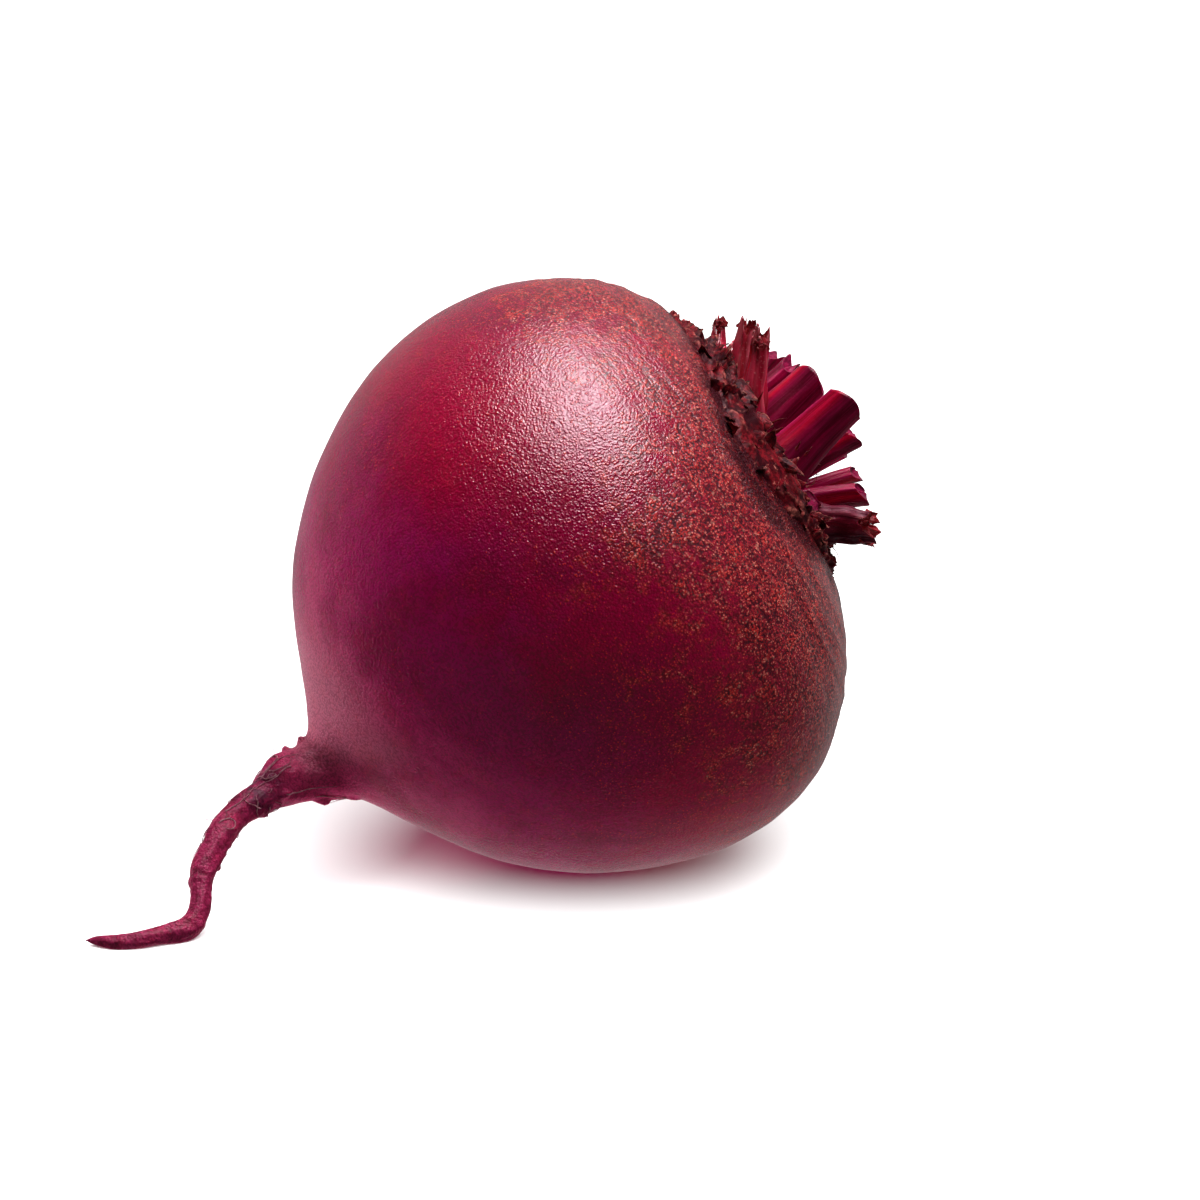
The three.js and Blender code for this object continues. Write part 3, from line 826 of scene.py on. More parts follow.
@dataclass(frozen=True)
class StalkFinish(Finish):
    """A leaf stalk: streaked lengthwise, darker toward its foot, with paler ribs, painted light on one edge
    and painted shade across its face.
    """

    # the stalk's dark colour, which also paints the shade across its face
    deep: tuple[float, ...] = (0.10, 0.0004, 0.014, 1)
    bright: tuple[float, ...] = (0.40, 0.001, 0.05, 1)
    rib: tuple[float, ...] = (0.70, 0.02, 0.14, 1)
    # the colour of a painted lit band beside the stalk's lit edge
    crimson: tuple[float, ...] = (0.62, 0.001, 0.028, 1)
    foot: tuple[float, ...] = (0.15, 0.003, 0.02, 1)
    shred: tuple[float, ...] = (0.62, 0.24, 0.26, 1)
    ragged: float = 0.0  # how much of the end is covered by pale torn skin
    streak_count: float = 20.0  # how many streaks there are round the stalk
    hair_share: float = 3.5  # how many fine lines there are for each streak
    bump_depth: float = 0.12  # in millimetres
    grain_depth: float = 0.05

    def build(self, streaks: bpy.types.NodeTree, pebbles: bpy.types.NodeTree) -> bpy.types.Material:
        """Makes the stalk's material.

        Args:
            streaks: The group of lengthwise streaks.
            pebbles: The group of fine grain.

        Returns:
            The material.
        """
        material, graph, shader = self.start()
        place, _ = self.beet_place(graph)
        uv = graph.node("ShaderNodeUVMap", uv_map="UVMap").outputs[0]
        shares = graph.node("ShaderNodeSeparateXYZ", {0: uv})
        turn, length = shares.outputs[0], shares.outputs[1]
        ribs = graph.node("ShaderNodeAttribute", attribute_name="rib").outputs["Fac"]
        lines = self.use(graph, streaks, {"Vector": uv, "Count": self.streak_count, "Length": 1.2})
        hair_count = self.streak_count * self.hair_share
        hairs = self.use(graph, streaks, {"Vector": uv, "Count": hair_count, "Length": 2.0})
        grain = self.use(graph, pebbles, {"Vector": place, "Size": 0.45})
        cloud = graph.noise(place, 0.22, 3.0, 0.55)
        colour = graph.mix(graph.ease(cloud, 0.35, 0.65), self.deep, self.bright)
        # Painted shade: the deep colour across the face, from about a tenth to nearly half of the turn.
        painted_shade = graph.math("MULTIPLY", graph.ease(turn, 0.12, 0.22), graph.ease(turn, 0.49, 0.44, 0.0, 0.85))
        colour = graph.mix(painted_shade, colour, self.deep)
        # Painted light: the bright colour on the edge where the turn starts.
        painted_light = graph.math("MAXIMUM", graph.ease(turn, 0.07, 0.02), graph.ease(turn, 0.88, 0.97))
        colour = graph.mix(graph.math("MULTIPLY", painted_light, 0.8), colour, self.bright)
        # Painted light: a crimson band beside that lit edge.
        painted_lit_band = graph.math("MULTIPLY", graph.ease(turn, 0.03, 0.07), graph.ease(turn, 0.19, 0.12, 0.0, 0.9))
        colour = graph.mix(painted_lit_band, colour, self.crimson)
        colour = graph.mix(graph.math("MULTIPLY", lines.outputs["Light"], 0.4), colour, self.bright)
        colour = graph.mix(graph.math("MULTIPLY", lines.outputs["Dark"], 0.5), colour, self.deep)
        colour = graph.mix(graph.math("MULTIPLY", hairs.outputs["Light"], 0.14), colour, self.rib)
        colour = graph.mix(graph.math("MULTIPLY", ribs, 0.5), colour, self.rib)
        colour = graph.mix(graph.ease(length, 0.32, 0.12, 0.0, 0.7), colour, self.foot)
        torn = graph.math("ADD", length, graph.ease(lines.outputs["Height"], 0.3, 0.7, -0.2, 0.16))
        torn = graph.math("MULTIPLY", graph.ease(torn, 0.74, 0.84), self.ragged)
        torn = graph.math("MAXIMUM", torn, graph.math("MULTIPLY", lines.outputs["Light"], self.ragged * 0.25))
        by_end = graph.ease(length, 0.2, 0.6, 0.0, self.ragged)
        flecks = graph.math("MULTIPLY", grain.outputs["Specks"], by_end)
        colour = graph.mix(graph.math("MAXIMUM", torn, flecks), colour, self.shred)
        graph.feed(colour, shader.inputs["Base Color"])
        normal = self.bump(graph, lines.outputs["Height"], self.bump_depth * 2, 0.6)
        normal = self.bump(graph, hairs.outputs["Height"], self.bump_depth, 0.6, normal)
        normal = self.bump(graph, grain.outputs["Height"], self.grain_depth, 0.5, normal)
        graph.feed(normal, shader.inputs["Normal"])
        return material


@dataclass(frozen=True)
class CutFinish(Finish):
    """The cut end of a stalk: moist pale flesh with darker bundles and a bright rim."""

    flesh: tuple[float, ...] = (0.26, 0.004, 0.05, 1)
    pith: tuple[float, ...] = (0.32, 0.008, 0.06, 1)
    bundle: tuple[float, ...] = (0.08, 0.002, 0.02, 1)

    def build(self, pebbles: bpy.types.NodeTree) -> bpy.types.Material:
        """Makes the cut end's material from the group of fine grain."""
        material, graph, shader = self.start()
        place, _ = self.beet_place(graph)
        grain = self.use(graph, pebbles, {"Vector": place, "Size": 0.9})
        cloud = graph.noise(place, 0.7, 3.0, 0.6)
        colour = graph.mix(graph.ease(cloud, 0.35, 0.65), self.flesh, self.pith)
        colour = graph.mix(graph.math("MULTIPLY", grain.outputs["Pits"], 0.6), colour, self.bundle)
        graph.feed(colour, shader.inputs["Base Color"])
        graph.feed(self.bump(graph, grain.outputs["Height"], 0.18, 0.7), shader.inputs["Normal"])
        return material


@dataclass(frozen=True)
class PaperFinish(Finish):
    """Dried leaf bases, shreds and fibres: papery, streaked and mottled."""

    dark: tuple[float, ...] = (0.032, 0.001, 0.004, 1)
    light: tuple[float, ...] = (0.24, 0.007, 0.014, 1)
    tan: tuple[float, ...] = (0.66, 0.19, 0.15, 1)
    tan_share: float = 0.75

    def build(self, streaks: bpy.types.NodeTree, pebbles: bpy.types.NodeTree) -> bpy.types.Material:
        """Makes the papery material from the groups of streaks and fine grain."""
        material, graph, shader = self.start()
        place, _ = self.beet_place(graph)
        uv = graph.node("ShaderNodeUVMap", uv_map="UVMap").outputs[0]
        lines = self.use(graph, streaks, {"Vector": uv, "Count": 14.0, "Length": 1.5})
        grain = self.use(graph, pebbles, {"Vector": place, "Size": 0.5})
        cloud = graph.noise(place, 0.35, 3.0, 0.6)
        patch = graph.noise(place, 0.8, 2.0, 0.5)
        colour = graph.mix(graph.ease(cloud, 0.42, 0.6), self.dark, self.light)
        colour = graph.mix(graph.math("MULTIPLY", lines.outputs["Light"], 0.5), colour, self.light)
        colour = graph.mix(graph.math("MULTIPLY", lines.outputs["Dark"], 0.6), colour, self.dark)
        edge = graph.node("ShaderNodeAttribute", attribute_name="edge").outputs["Fac"]
        by_cloud = graph.ease(cloud, 0.35, 0.55, 0.35, 1.0)
        lit_edge = graph.math("MULTIPLY", graph.ease(edge, 0.45, 0.9), by_cloud)
        tan = graph.math("ADD", graph.ease(patch, 0.64, 0.74), lit_edge)
        tan = graph.math("MULTIPLY", graph.math("MINIMUM", tan, 1.0), self.tan_share)
        colour = graph.mix(tan, colour, self.tan)
        colour = graph.mix(graph.math("MULTIPLY", grain.outputs["Pits"], 0.7), colour, self.dark)
        graph.feed(colour, shader.inputs["Base Color"])
        normal = self.bump(graph, lines.outputs["Height"], 0.3, 0.7)
        normal = self.bump(graph, grain.outputs["Height"], 0.15, 0.7, normal)
        graph.feed(normal, shader.inputs["Normal"])
        return material


@dataclass(frozen=True)
class Palette:
    """All the finishes, made once."""

    skin: bpy.types.Material
    fresh: bpy.types.Material
    torn: bpy.types.Material
    dry: bpy.types.Material
    cut: bpy.types.Material
    paper: bpy.types.Material
    fibre: bpy.types.Material
    hair: bpy.types.Material


def make_palette() -> Palette:
    """Builds the shared groups and every finish from them."""
    pebbles, streaks = pebble_group(), streak_group()
    torn = StalkFinish(
        "TornStalk",
        roughness=0.4,
        specular=0.08,
        coat=0.5,
        deep=(0.24, 0.001, 0.010, 1),
        bright=(0.92, 0.003, 0.075, 1),
        rib=(0.85, 0.12, 0.18, 1),
        crimson=(0.80, 0.001, 0.012, 1),
        foot=(0.60, 0.003, 0.08, 1),
        shred=(0.62, 0.14, 0.16, 1),
        ragged=0.5,
        streak_count=9.0,
        bump_depth=0.16,
    )
    dry = StalkFinish(
        "DryStalk",
        roughness=0.4,
        specular=0.1,
        deep=(0.04, 0.001, 0.008, 1),
        bright=(0.15, 0.003, 0.028, 1),
        rib=(0.30, 0.03, 0.06, 1),
        crimson=(0.20, 0.003, 0.02, 1),
        foot=(0.10, 0.003, 0.012, 1),
        shred=(0.24, 0.03, 0.035, 1),
        ragged=0.6,
        streak_count=16.0,
        bump_depth=0.3,
    )
    fibre = PaperFinish(
        "PaleFibre",
        roughness=0.45,
        specular=0.1,
        dark=(0.20, 0.004, 0.008, 1),
        light=(0.46, 0.03, 0.045, 1),
        tan=(0.66, 0.30, 0.26, 1),
        tan_share=0.6,
    )
    hair = PaperFinish(
        "RootHair",
        roughness=0.6,
        specular=0.1,
        dark=(0.45, 0.13, 0.19, 1),
        light=(0.72, 0.34, 0.40, 1),
        tan=(0.85, 0.55, 0.52, 1),
    )
    return Palette(
        skin=SkinFinish("BeetSkin", roughness=0.15, specular=0.33).build(pebbles),
        fresh=StalkFinish("FreshStalk", roughness=0.26, specular=0.1).build(streaks, pebbles),
        torn=torn.build(streaks, pebbles),
        dry=dry.build(streaks, pebbles),
        cut=CutFinish("CutEnd", roughness=0.36, specular=0.15).build(pebbles),
        paper=PaperFinish("DriedLeafBase", roughness=0.5, specular=0.06).build(streaks, pebbles),
        fibre=fibre.build(streaks, pebbles),
        hair=hair.build(streaks, pebbles),
    )


@dataclass
class Taproot:
    """The bulb and its tail: one skin, with fine relief that the solid is too coarse for."""

    around: int = 200
    along: int = 408
    tip_tuck: float = 0.0006  # keeps the tip, which lies on the solid's, within the solid's box
    rim_out: float = 23.6  # how far the darkened skin reaches round the crown
    rim_spread: float = 9.0  # how much further it reaches on the near shoulder
    rim_ease: tuple[float, float] = (-2.6, 1.8)  # how softly it ends
    scar_half: float = 0.3
    # Scars round the tail: (distance below the bulb's centre, the turn that each leans to, height)
    scars: tuple[tuple[float, float, float], ...] = (
        (52.6, 0.6, 0.16),
        (57.8, 2.4, 0.12),
        (63.2, 4.0, 0.14),
        (70.6, 1.2, 0.26),
        (71.8, 1.9, 0.14),
        (76.0, 5.0, 0.12),
    )
    form: RootForm = field(default_factory=RootForm)

    def fine_relief(self, ring: Ring, turn: float) -> float:
        """The small dents, corky wrinkles and tail folds at a place, in millimetres."""
        point = ring.middle + ring.radius * ring.way(turn)
        on_tail = smooth_share(-ring.along, 40, 50)
        corky = smooth_share(ring.along, 10, 26)
        dents = 0.16 * noise.noise(point * 0.09) + 0.07 * noise.noise(point * 0.28)
        if corky > 0:
            dents += 0.22 * corky * noise.fractal(round_spot(turn, 2.4, ring.along * 0.9), 0.9, 2.1, 3)
        if on_tail > 0:
            thick = min(ring.radius, 2.6)
            ribs = round_spot(turn, 1.9, ring.along * 0.16)
            folds = round_spot(turn, 0.5, ring.along * 1.1)
            crease = noise.noise(ribs) * 0.6 + noise.noise(ribs * 2.3) * 0.3
            crease += max(0.0, noise.noise(folds)) * 0.7
            rough_end = 0.5 * smooth_share(-ring.along, 74, 84) * noise.noise(folds * 2.5)
            dents += on_tail * thick * 0.06 * (crease - 0.6 + rough_end)
            for below, lean, tall in self.scars:
                away = (ring.along + below + 0.5 * math.sin(turn - lean)) / self.scar_half
                if abs(away) < 3:
                    dents += tall * math.exp(-away * away) * (0.6 + 0.4 * math.cos(turn - lean))
        return dents

    def build(self, skin: bpy.types.Material) -> bpy.types.Object:
        """Makes the skin.

        Args:
            skin: The skin's finish.

        Returns:
            The piece that stands for the solid root.
        """
        rings = self.form.rings(self.along)

        def place(turn_share: float, length: float) -> Vector:
            """The skin's point at a share of the turn and of the length."""
            ring = rings[round(length * self.along)]
            turn = turn_share * math.tau
            if ring.radius <= 0:
                return ring.middle.lerp(POSE.centre, self.tip_tuck)
            reach = ring.radius + self.form.broad_relief(ring.along, turn, ring.radius)
            reach += self.fine_relief(ring, turn) - SKIN_INSET * smooth_share(ring.radius, 2, 20)
            point = ring.middle + reach * ring.way(turn)
            point.z = max(point.z, FLOOR_GAP)
            return point

        bm = bmesh.new()
        shell(bm, self.around, self.along, place)
        piece = finished(bm, "taproot_skin", [skin])
        self.note_along(piece, rings)
        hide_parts("taproot")
        return piece

    def note_along(self, piece: bpy.types.Object, rings: Sequence[Ring]) -> None:
        """Writes what the skin's zones of colour need: how far along each point lies, and the crown's rim."""
        mesh = piece.data
        uvs = mesh.uv_layers[0].data
        along = mesh.attributes.new("along", "FLOAT", "POINT")
        rim = mesh.attributes.new("rim", "FLOAT", "POINT")
        to_crown = POSE.drooped.inverted()
        for loop in mesh.loops:
            ring = rings[round(uvs[loop.index].uv.y * self.along)]
            along.data[loop.vertex_index].value = ring.along
        for vertex in mesh.vertices:
            spot = vertex.co / MM
            here = to_crown @ spot
            reach = self.rim_out + self.rim_spread * nearness(math.atan2(here.y, here.x), NEAR_TURN + 2)
            reach += 1.8 * noise.noise(spot * 0.3) + 1.1 * noise.noise(spot * 1.1)
            inside = smooth_share(reach - math.hypot(here.x, here.y), *self.rim_ease)
            on_crown_side = here.z > -BULB_RADIUS / 2
            rim.data[vertex.index].value = inside if on_crown_side else 0.0


class StalkEnd(Enum):
    """How a stalk ends."""

    CUT = "cut"
    SLANT = "slant"
    TORN = "torn"


@dataclass(frozen=True)
class StalkSize:
    """One stalk, as the solids have it: its node, its foot and tip in the crown's frame, and its section."""

    node: str
    base: tuple[float, float, float]
    tip: tuple[float, float, float]
    width: float
    thick: float
    end: StalkEnd
    taper: float = 0.0


STALKS = (
    StalkSize("leaf_stalk_01", (-4.9, 11.2, -3), (-2.4, 13.4, 12.5), 5.7, 4.2, StalkEnd.CUT),
    StalkSize("leaf_stalk_02", (0.8, 5.0, -3), (2.9, 6.2, 10.9), 5.6, 4.2, StalkEnd.CUT),
    StalkSize("leaf_stalk_03", (-5.4, 4.4, -3), (-6.8, 5.4, 10.6), 4.8, 3.8, StalkEnd.CUT),
    StalkSize("leaf_stalk_04", (-8.4, -0.6, -3), (-11.3, -0.6, 8.4), 5.0, 3.2, StalkEnd.CUT),
    StalkSize("leaf_stalk_05", (-10.0, 4.8, -3), (-14.5, 6.6, 7.1), 5.2, 3.4, StalkEnd.CUT),
    StalkSize("leaf_stalk_06", (5.0, -0.4, -3), (6.1, -1.0, 9.3), 3.8, 3.2, StalkEnd.SLANT),
    StalkSize("leaf_stalk_07", (6.8, -5.4, -3), (8.2, -7.0, 8.6), 4.4, 3.4, StalkEnd.SLANT),
    StalkSize("leaf_stalk_08", (-1.8, -0.4, -3), (-2.2, -0.6, 9.0), 4.2, 3.4, StalkEnd.CUT),
    StalkSize("leaf_stalk_09", (1.4, -6.4, -3), (2.0, -9.2, 10.4), 5.4, 4.0, StalkEnd.CUT),
    StalkSize("leaf_stalk_10", (-5.0, -5.6, -3), (-6.8, -8.2, 9.4), 5.2, 4.0, StalkEnd.CUT),
    StalkSize("leaf_stalk_11", (-1.8, -11.6, -3), (-2.4, -16.0, 8.6), 6.0, 4.2, StalkEnd.CUT),
    StalkSize("leaf_stalk_12", (-9.6, -8.6, -3), (-13.4, -12.4, 6.6), 5.4, 3.8, StalkEnd.CUT),
    StalkSize("torn_stalk_1", (1.0, 10.0, -2.8), (12.5, 11.8, 7.8), 3.6, 3.0, StalkEnd.TORN, 0.35),
    StalkSize("torn_stalk_2", (5.0, 6.2, -2.6), (14.5, 7.0, 7.0), 4.4, 3.2, StalkEnd.TORN, 0.4),
    StalkSize("torn_stalk_3", (9.4, 1.6, -2.6), (16.8, 1.8, 4.4), 4.6, 3.2, StalkEnd.TORN, 0.6),
    StalkSize("torn_stalk_4", (8.0, -9.4, -2.6), (13.2, -13.6, 5.0), 5.2, 3.6, StalkEnd.TORN, 0.4),
    StalkSize("dry_stalk_1", (-12.6, 7.4, -3), (-19.0, 9.2, 5.0), 6.6, 4.6, StalkEnd.TORN),
    StalkSize("dry_stalk_2", (-13.0, -3.6, -3), (-18.0, -4.8, 4.6), 5.4, 3.6, StalkEnd.TORN),
    StalkSize("flush_stub", (-10.2, 11.2, -4), (-11.8, 13.4, 0.4), 4.8, 3.6, StalkEnd.CUT),
)


@dataclass
class Stalk:
    """A leaf stalk with its ribs, its groove and its cut or torn end."""

    size: StalkSize
    seed: int
    around: int = 72
    rise: int = 34
    cap: int = 8
    foot_flare: float = 0.5  # how much thicker its foot is, as a share
    groove_depth: float = 0.62  # how deep the groove on its inner side is, as a share
    rib_turn: float = 0.12  # how far the two strong ribs lie from the section's widest place
    rib_half: float = 0.16
    rib_height: float = 0.22
    inset: float = 0.14  # how far the skin lies inside the solid's between the ribs
    torn_rough: float = 0.48  # how rough the skin of a torn stalk is
    whole_rough: float = 0.05
    torn_dip: float = 1.3  # how far the middle of a torn end lies below its rim
    cut_dip: float = 0.35

    def bend(self, share: float) -> tuple[Vector, Vector]:
        """The middle of the stalk and its heading, at a share of its length, in the crown's frame."""
        start, finish = Vector(self.size.base), Vector(self.size.tip)
        both = start + finish
        lean = Vector((0.35 * both.x, 0.35 * both.y, 0.45 * both.z))
        control = lean.lerp(start.lerp(finish, 0.5), 0.75)
        middle = start * (1 - share) ** 2 + control * (2 * share * (1 - share)) + finish * share**2
        heading = (control - start) * (2 * (1 - share)) + (finish - control) * (2 * share)
        return middle, heading.normalized()

    def rib_share(self, turn: float) -> float:
        """How much of a rib there is at a turn: two strong ones at the edges, fine ones outside."""
        places = (self.rib_turn, math.pi - self.rib_turn)
        from_edges = (math.remainder(turn - at, math.tau) for at in places)
        edges = max(math.exp(-((away / self.rib_half) ** 2)) for away in from_edges)
        fine = 0.35 * max(0.0, math.sin(turn)) * (0.5 + 0.5 * math.cos(9 * turn + self.seed)) ** 3
        return max(edges, fine)

    def girth(self, share: float) -> float:
        """How thick the stalk is at a share of its length: flared at its foot, tapered where it is torn."""
        return 1 + self.foot_flare * (1 - share) ** 2 - self.size.taper * share**3

    def outward(self, heading: Vector) -> Vector:
        """The way square to a heading that points out from the crown's middle."""
        away = Vector((self.size.tip[0], self.size.tip[1], 0.0)).normalized()
        return (away - heading * away.dot(heading)).normalized()

    def end_reach(self, across: float, out: float, turn: float) -> float:
        """How far the end stands past the tip at a place on the section."""
        if self.size.end is StalkEnd.TORN:
            spot = round_spot(turn, 6.0, self.seed * 7.3)
            point = abs((3 * turn / math.tau + first_draw(100 + self.seed) + 4) % 1 - 0.5)
            return 5.2 * point - 1.8 - 1.2 * abs(across) + 0.5 * noise.noise(spot)
        if self.size.end is StalkEnd.SLANT:
            return 0.8 - 4.0 * abs(across - 0.12)
        return 0.9 * out - 4.6 * across * across - 0.4

    def place(self, turn_share: float, length: float) -> Vector:
        """The point of the stalk's surface at a share of the turn and of the length."""
        total = self.rise + self.cap
        step = length * total
        share = min(step / self.rise, 1.0)
        inward = 0.0 if step <= self.rise else (step - self.rise) / self.cap
        turn = turn_share * math.tau
        groove = 1 - self.groove_depth * math.sin(turn) ** 4 if math.sin(turn) < 0 else 1.0
        x, y = 0.5 * math.cos(turn), 0.5 * groove * math.sin(turn)
        middle, heading = self.bend(share)
        out = self.outward(heading)
        side = out.cross(heading)
        girth = self.girth(share)
        is_torn = self.size.end is StalkEnd.TORN
        spot = round_spot(turn, 1.6, share * 3.0 + self.seed * 3.7)
        rough = self.torn_rough if is_torn else self.whole_rough
        swell = self.rib_height * self.rib_share(turn) - self.inset + rough * noise.noise(spot * 1.3)
        if is_torn:
            swell += 0.16 * math.cos(3 * turn + 3 * noise.noise(spot))
        shrink = 1 - inward
        reach_x = x * self.size.width * girth + math.cos(turn) * swell
        reach_y = y * self.size.thick * girth + math.sin(turn) * swell
        depth = self.end_reach(x, y, turn) * share**8
        if inward > 0:
            dip = self.torn_dip if is_torn else self.cut_dip
            flat = self.end_reach(x * shrink, y * shrink, turn)
            dip *= min(1.0, 2.2 * inward) * (0.6 + 0.4 * inward)
            depth = depth * shrink + flat * inward * shrink - dip
            depth += 0.14 * noise.noise(spot * 4.0) * min(1.0, inward * 3) * shrink
        return POSE.crown @ (middle + side * (reach_x * shrink) + out * (reach_y * shrink) + heading * depth)

    def build(self, body: bpy.types.Material, cut: bpy.types.Material, slot: str) -> bpy.types.Object:
        """Makes the stalk.

        Args:
            body: The finish of its sides.
            cut: The finish of its end.
            slot: The record's material slot for it; not used.

        Returns:
            The piece that stands for the solid stalk.
        """
        bm = bmesh.new()
        total = self.rise + self.cap
        shell(bm, self.around, total, self.place)
        fill_ends(bm, bm.verts)
        uv = uv_layer(bm)
        rib = bm.verts.layers.float.new("rib")
        for face in bm.faces:
            lengths = [loop[uv].uv.y for loop in face.loops]
            face.material_index = 1 if min(lengths) * total > self.rise - 0.5 else 0
            for loop in face.loops:
                loop.vert[rib] = self.rib_share(loop[uv].uv.x * math.tau) if face.material_index == 0 else 0.0
        piece = finished(bm, f"{self.size.node}_flesh", [body, cut])
        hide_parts(self.size.node)
        return piece


@dataclass
class Shreds:
    """Many thin torn slips in one mesh: each one tapers, curls and has two sides."""

    name: str
    rng: random.Random
    frame: Matrix
    bm: bmesh.types.BMesh = field(default_factory=bmesh.new)
    around: int = 10
    along: int = 8

    def __post_init__(self) -> None:
        """Adds the mask of the pale edges, which the papery finish reads."""
        self.edge = self.bm.verts.layers.float.new("edge")

    def slip(
        self, foot: Vector, heading: Vector, face: Vector, size: tuple[float, float, float], curl: float
    ) -> None:
        """Adds one slip, in the shreds' own frame.

        Args:
            foot: Where its foot stands.
            heading: The way that it grows.
            face: The way that its broad side faces.
            size: Its length, its width at the foot and its thickness.
            curl: How far it curls toward its face, in radians.
        """
        long, wide, thick = size
        heading = heading.normalized()
        face = (face - heading * face.dot(heading)).normalized()
        across = heading.cross(face)
        ragged = [self.rng.uniform(-1, 1) for _ in range(self.along + 1)]
        skew = self.rng.uniform(-0.3, 0.3)
        seed = self.rng.uniform(0, 99)

        def place(turn_share: float, length: float) -> Vector:
            """The slip's point at a share of its turn and length."""
            turn = turn_share * math.tau
            narrow = (1 - length**1.8) * (1 + 0.18 * ragged[int(length * self.along)])
            angle = curl * length
            ahead = heading * math.cos(angle * 0.5) + face * math.sin(angle * 0.5)
            lift = face * math.cos(angle * 0.5) - heading * math.sin(angle * 0.5)
            middle = foot + ahead * (long * length) + across * (skew * long * length * length)
            cup = 0.12 * wide * (math.cos(turn) ** 2) * narrow
            wave = 0.12 * wide * noise.noise(Vector((seed, length * 4, math.cos(turn) * 1.5)))
            broad = math.cos(turn) * wide * 0.5 * max(narrow, 0.04)
            deep = math.sin(turn) * thick * 0.5 * (1 - 0.6 * length)
            return self.frame @ (middle + across * broad + lift * (deep - cup + wave))

        before = set(self.bm.verts)
        shell(self.bm, self.around, self.along, place)
        uv = uv_layer(self.bm)
        new = [v for v in self.bm.verts if v not in before]
        for vert in new:
            turn_share, length = vert.link_loops[0][uv].uv
            vert[self.edge] = max(abs(math.cos(turn_share * math.tau)) ** 8, smooth_share(length, 0.7, 1.0))
        fill_ends(self.bm, new)

    def done(self, materials: Sequence[bpy.types.Material]) -> bpy.types.Object:
        """Makes the piece of all the slips added so far."""
        piece = finished(self.bm, self.name, materials)
        return piece


def on_shoulder(turn: float, out: float, up: float) -> Vector:
    """A point of the ring of leaf bases, spread down the near shoulder, in the crown's drooped frame.

    Args:
        turn: The turn round the crown: 0 is across and a quarter turn is near.
        out: How far out the point lies where the ring isn't spread.
        up: How high it lies there.

    Returns:
        The point.
    """
    far = out + NEAR_SPREAD * smooth_share(out, 15.5, 20) * nearness(turn, NEAR_TURN)
    return Vector((far * math.cos(turn), far * math.sin(turn), up - BAND_FALL * max(far - SHOULDER_OUT, 0.0)))


@dataclass(frozen=True)
class FlapRow:
    """A row of dried flaps round the crown: its place, its arc in degrees, and the ranges of its flaps."""

    radius: float
    up: float
    count: int
    arc: tuple[float, float]
    lean: tuple[float, float]
    long: tuple[float, float]
    wide: tuple[float, float]


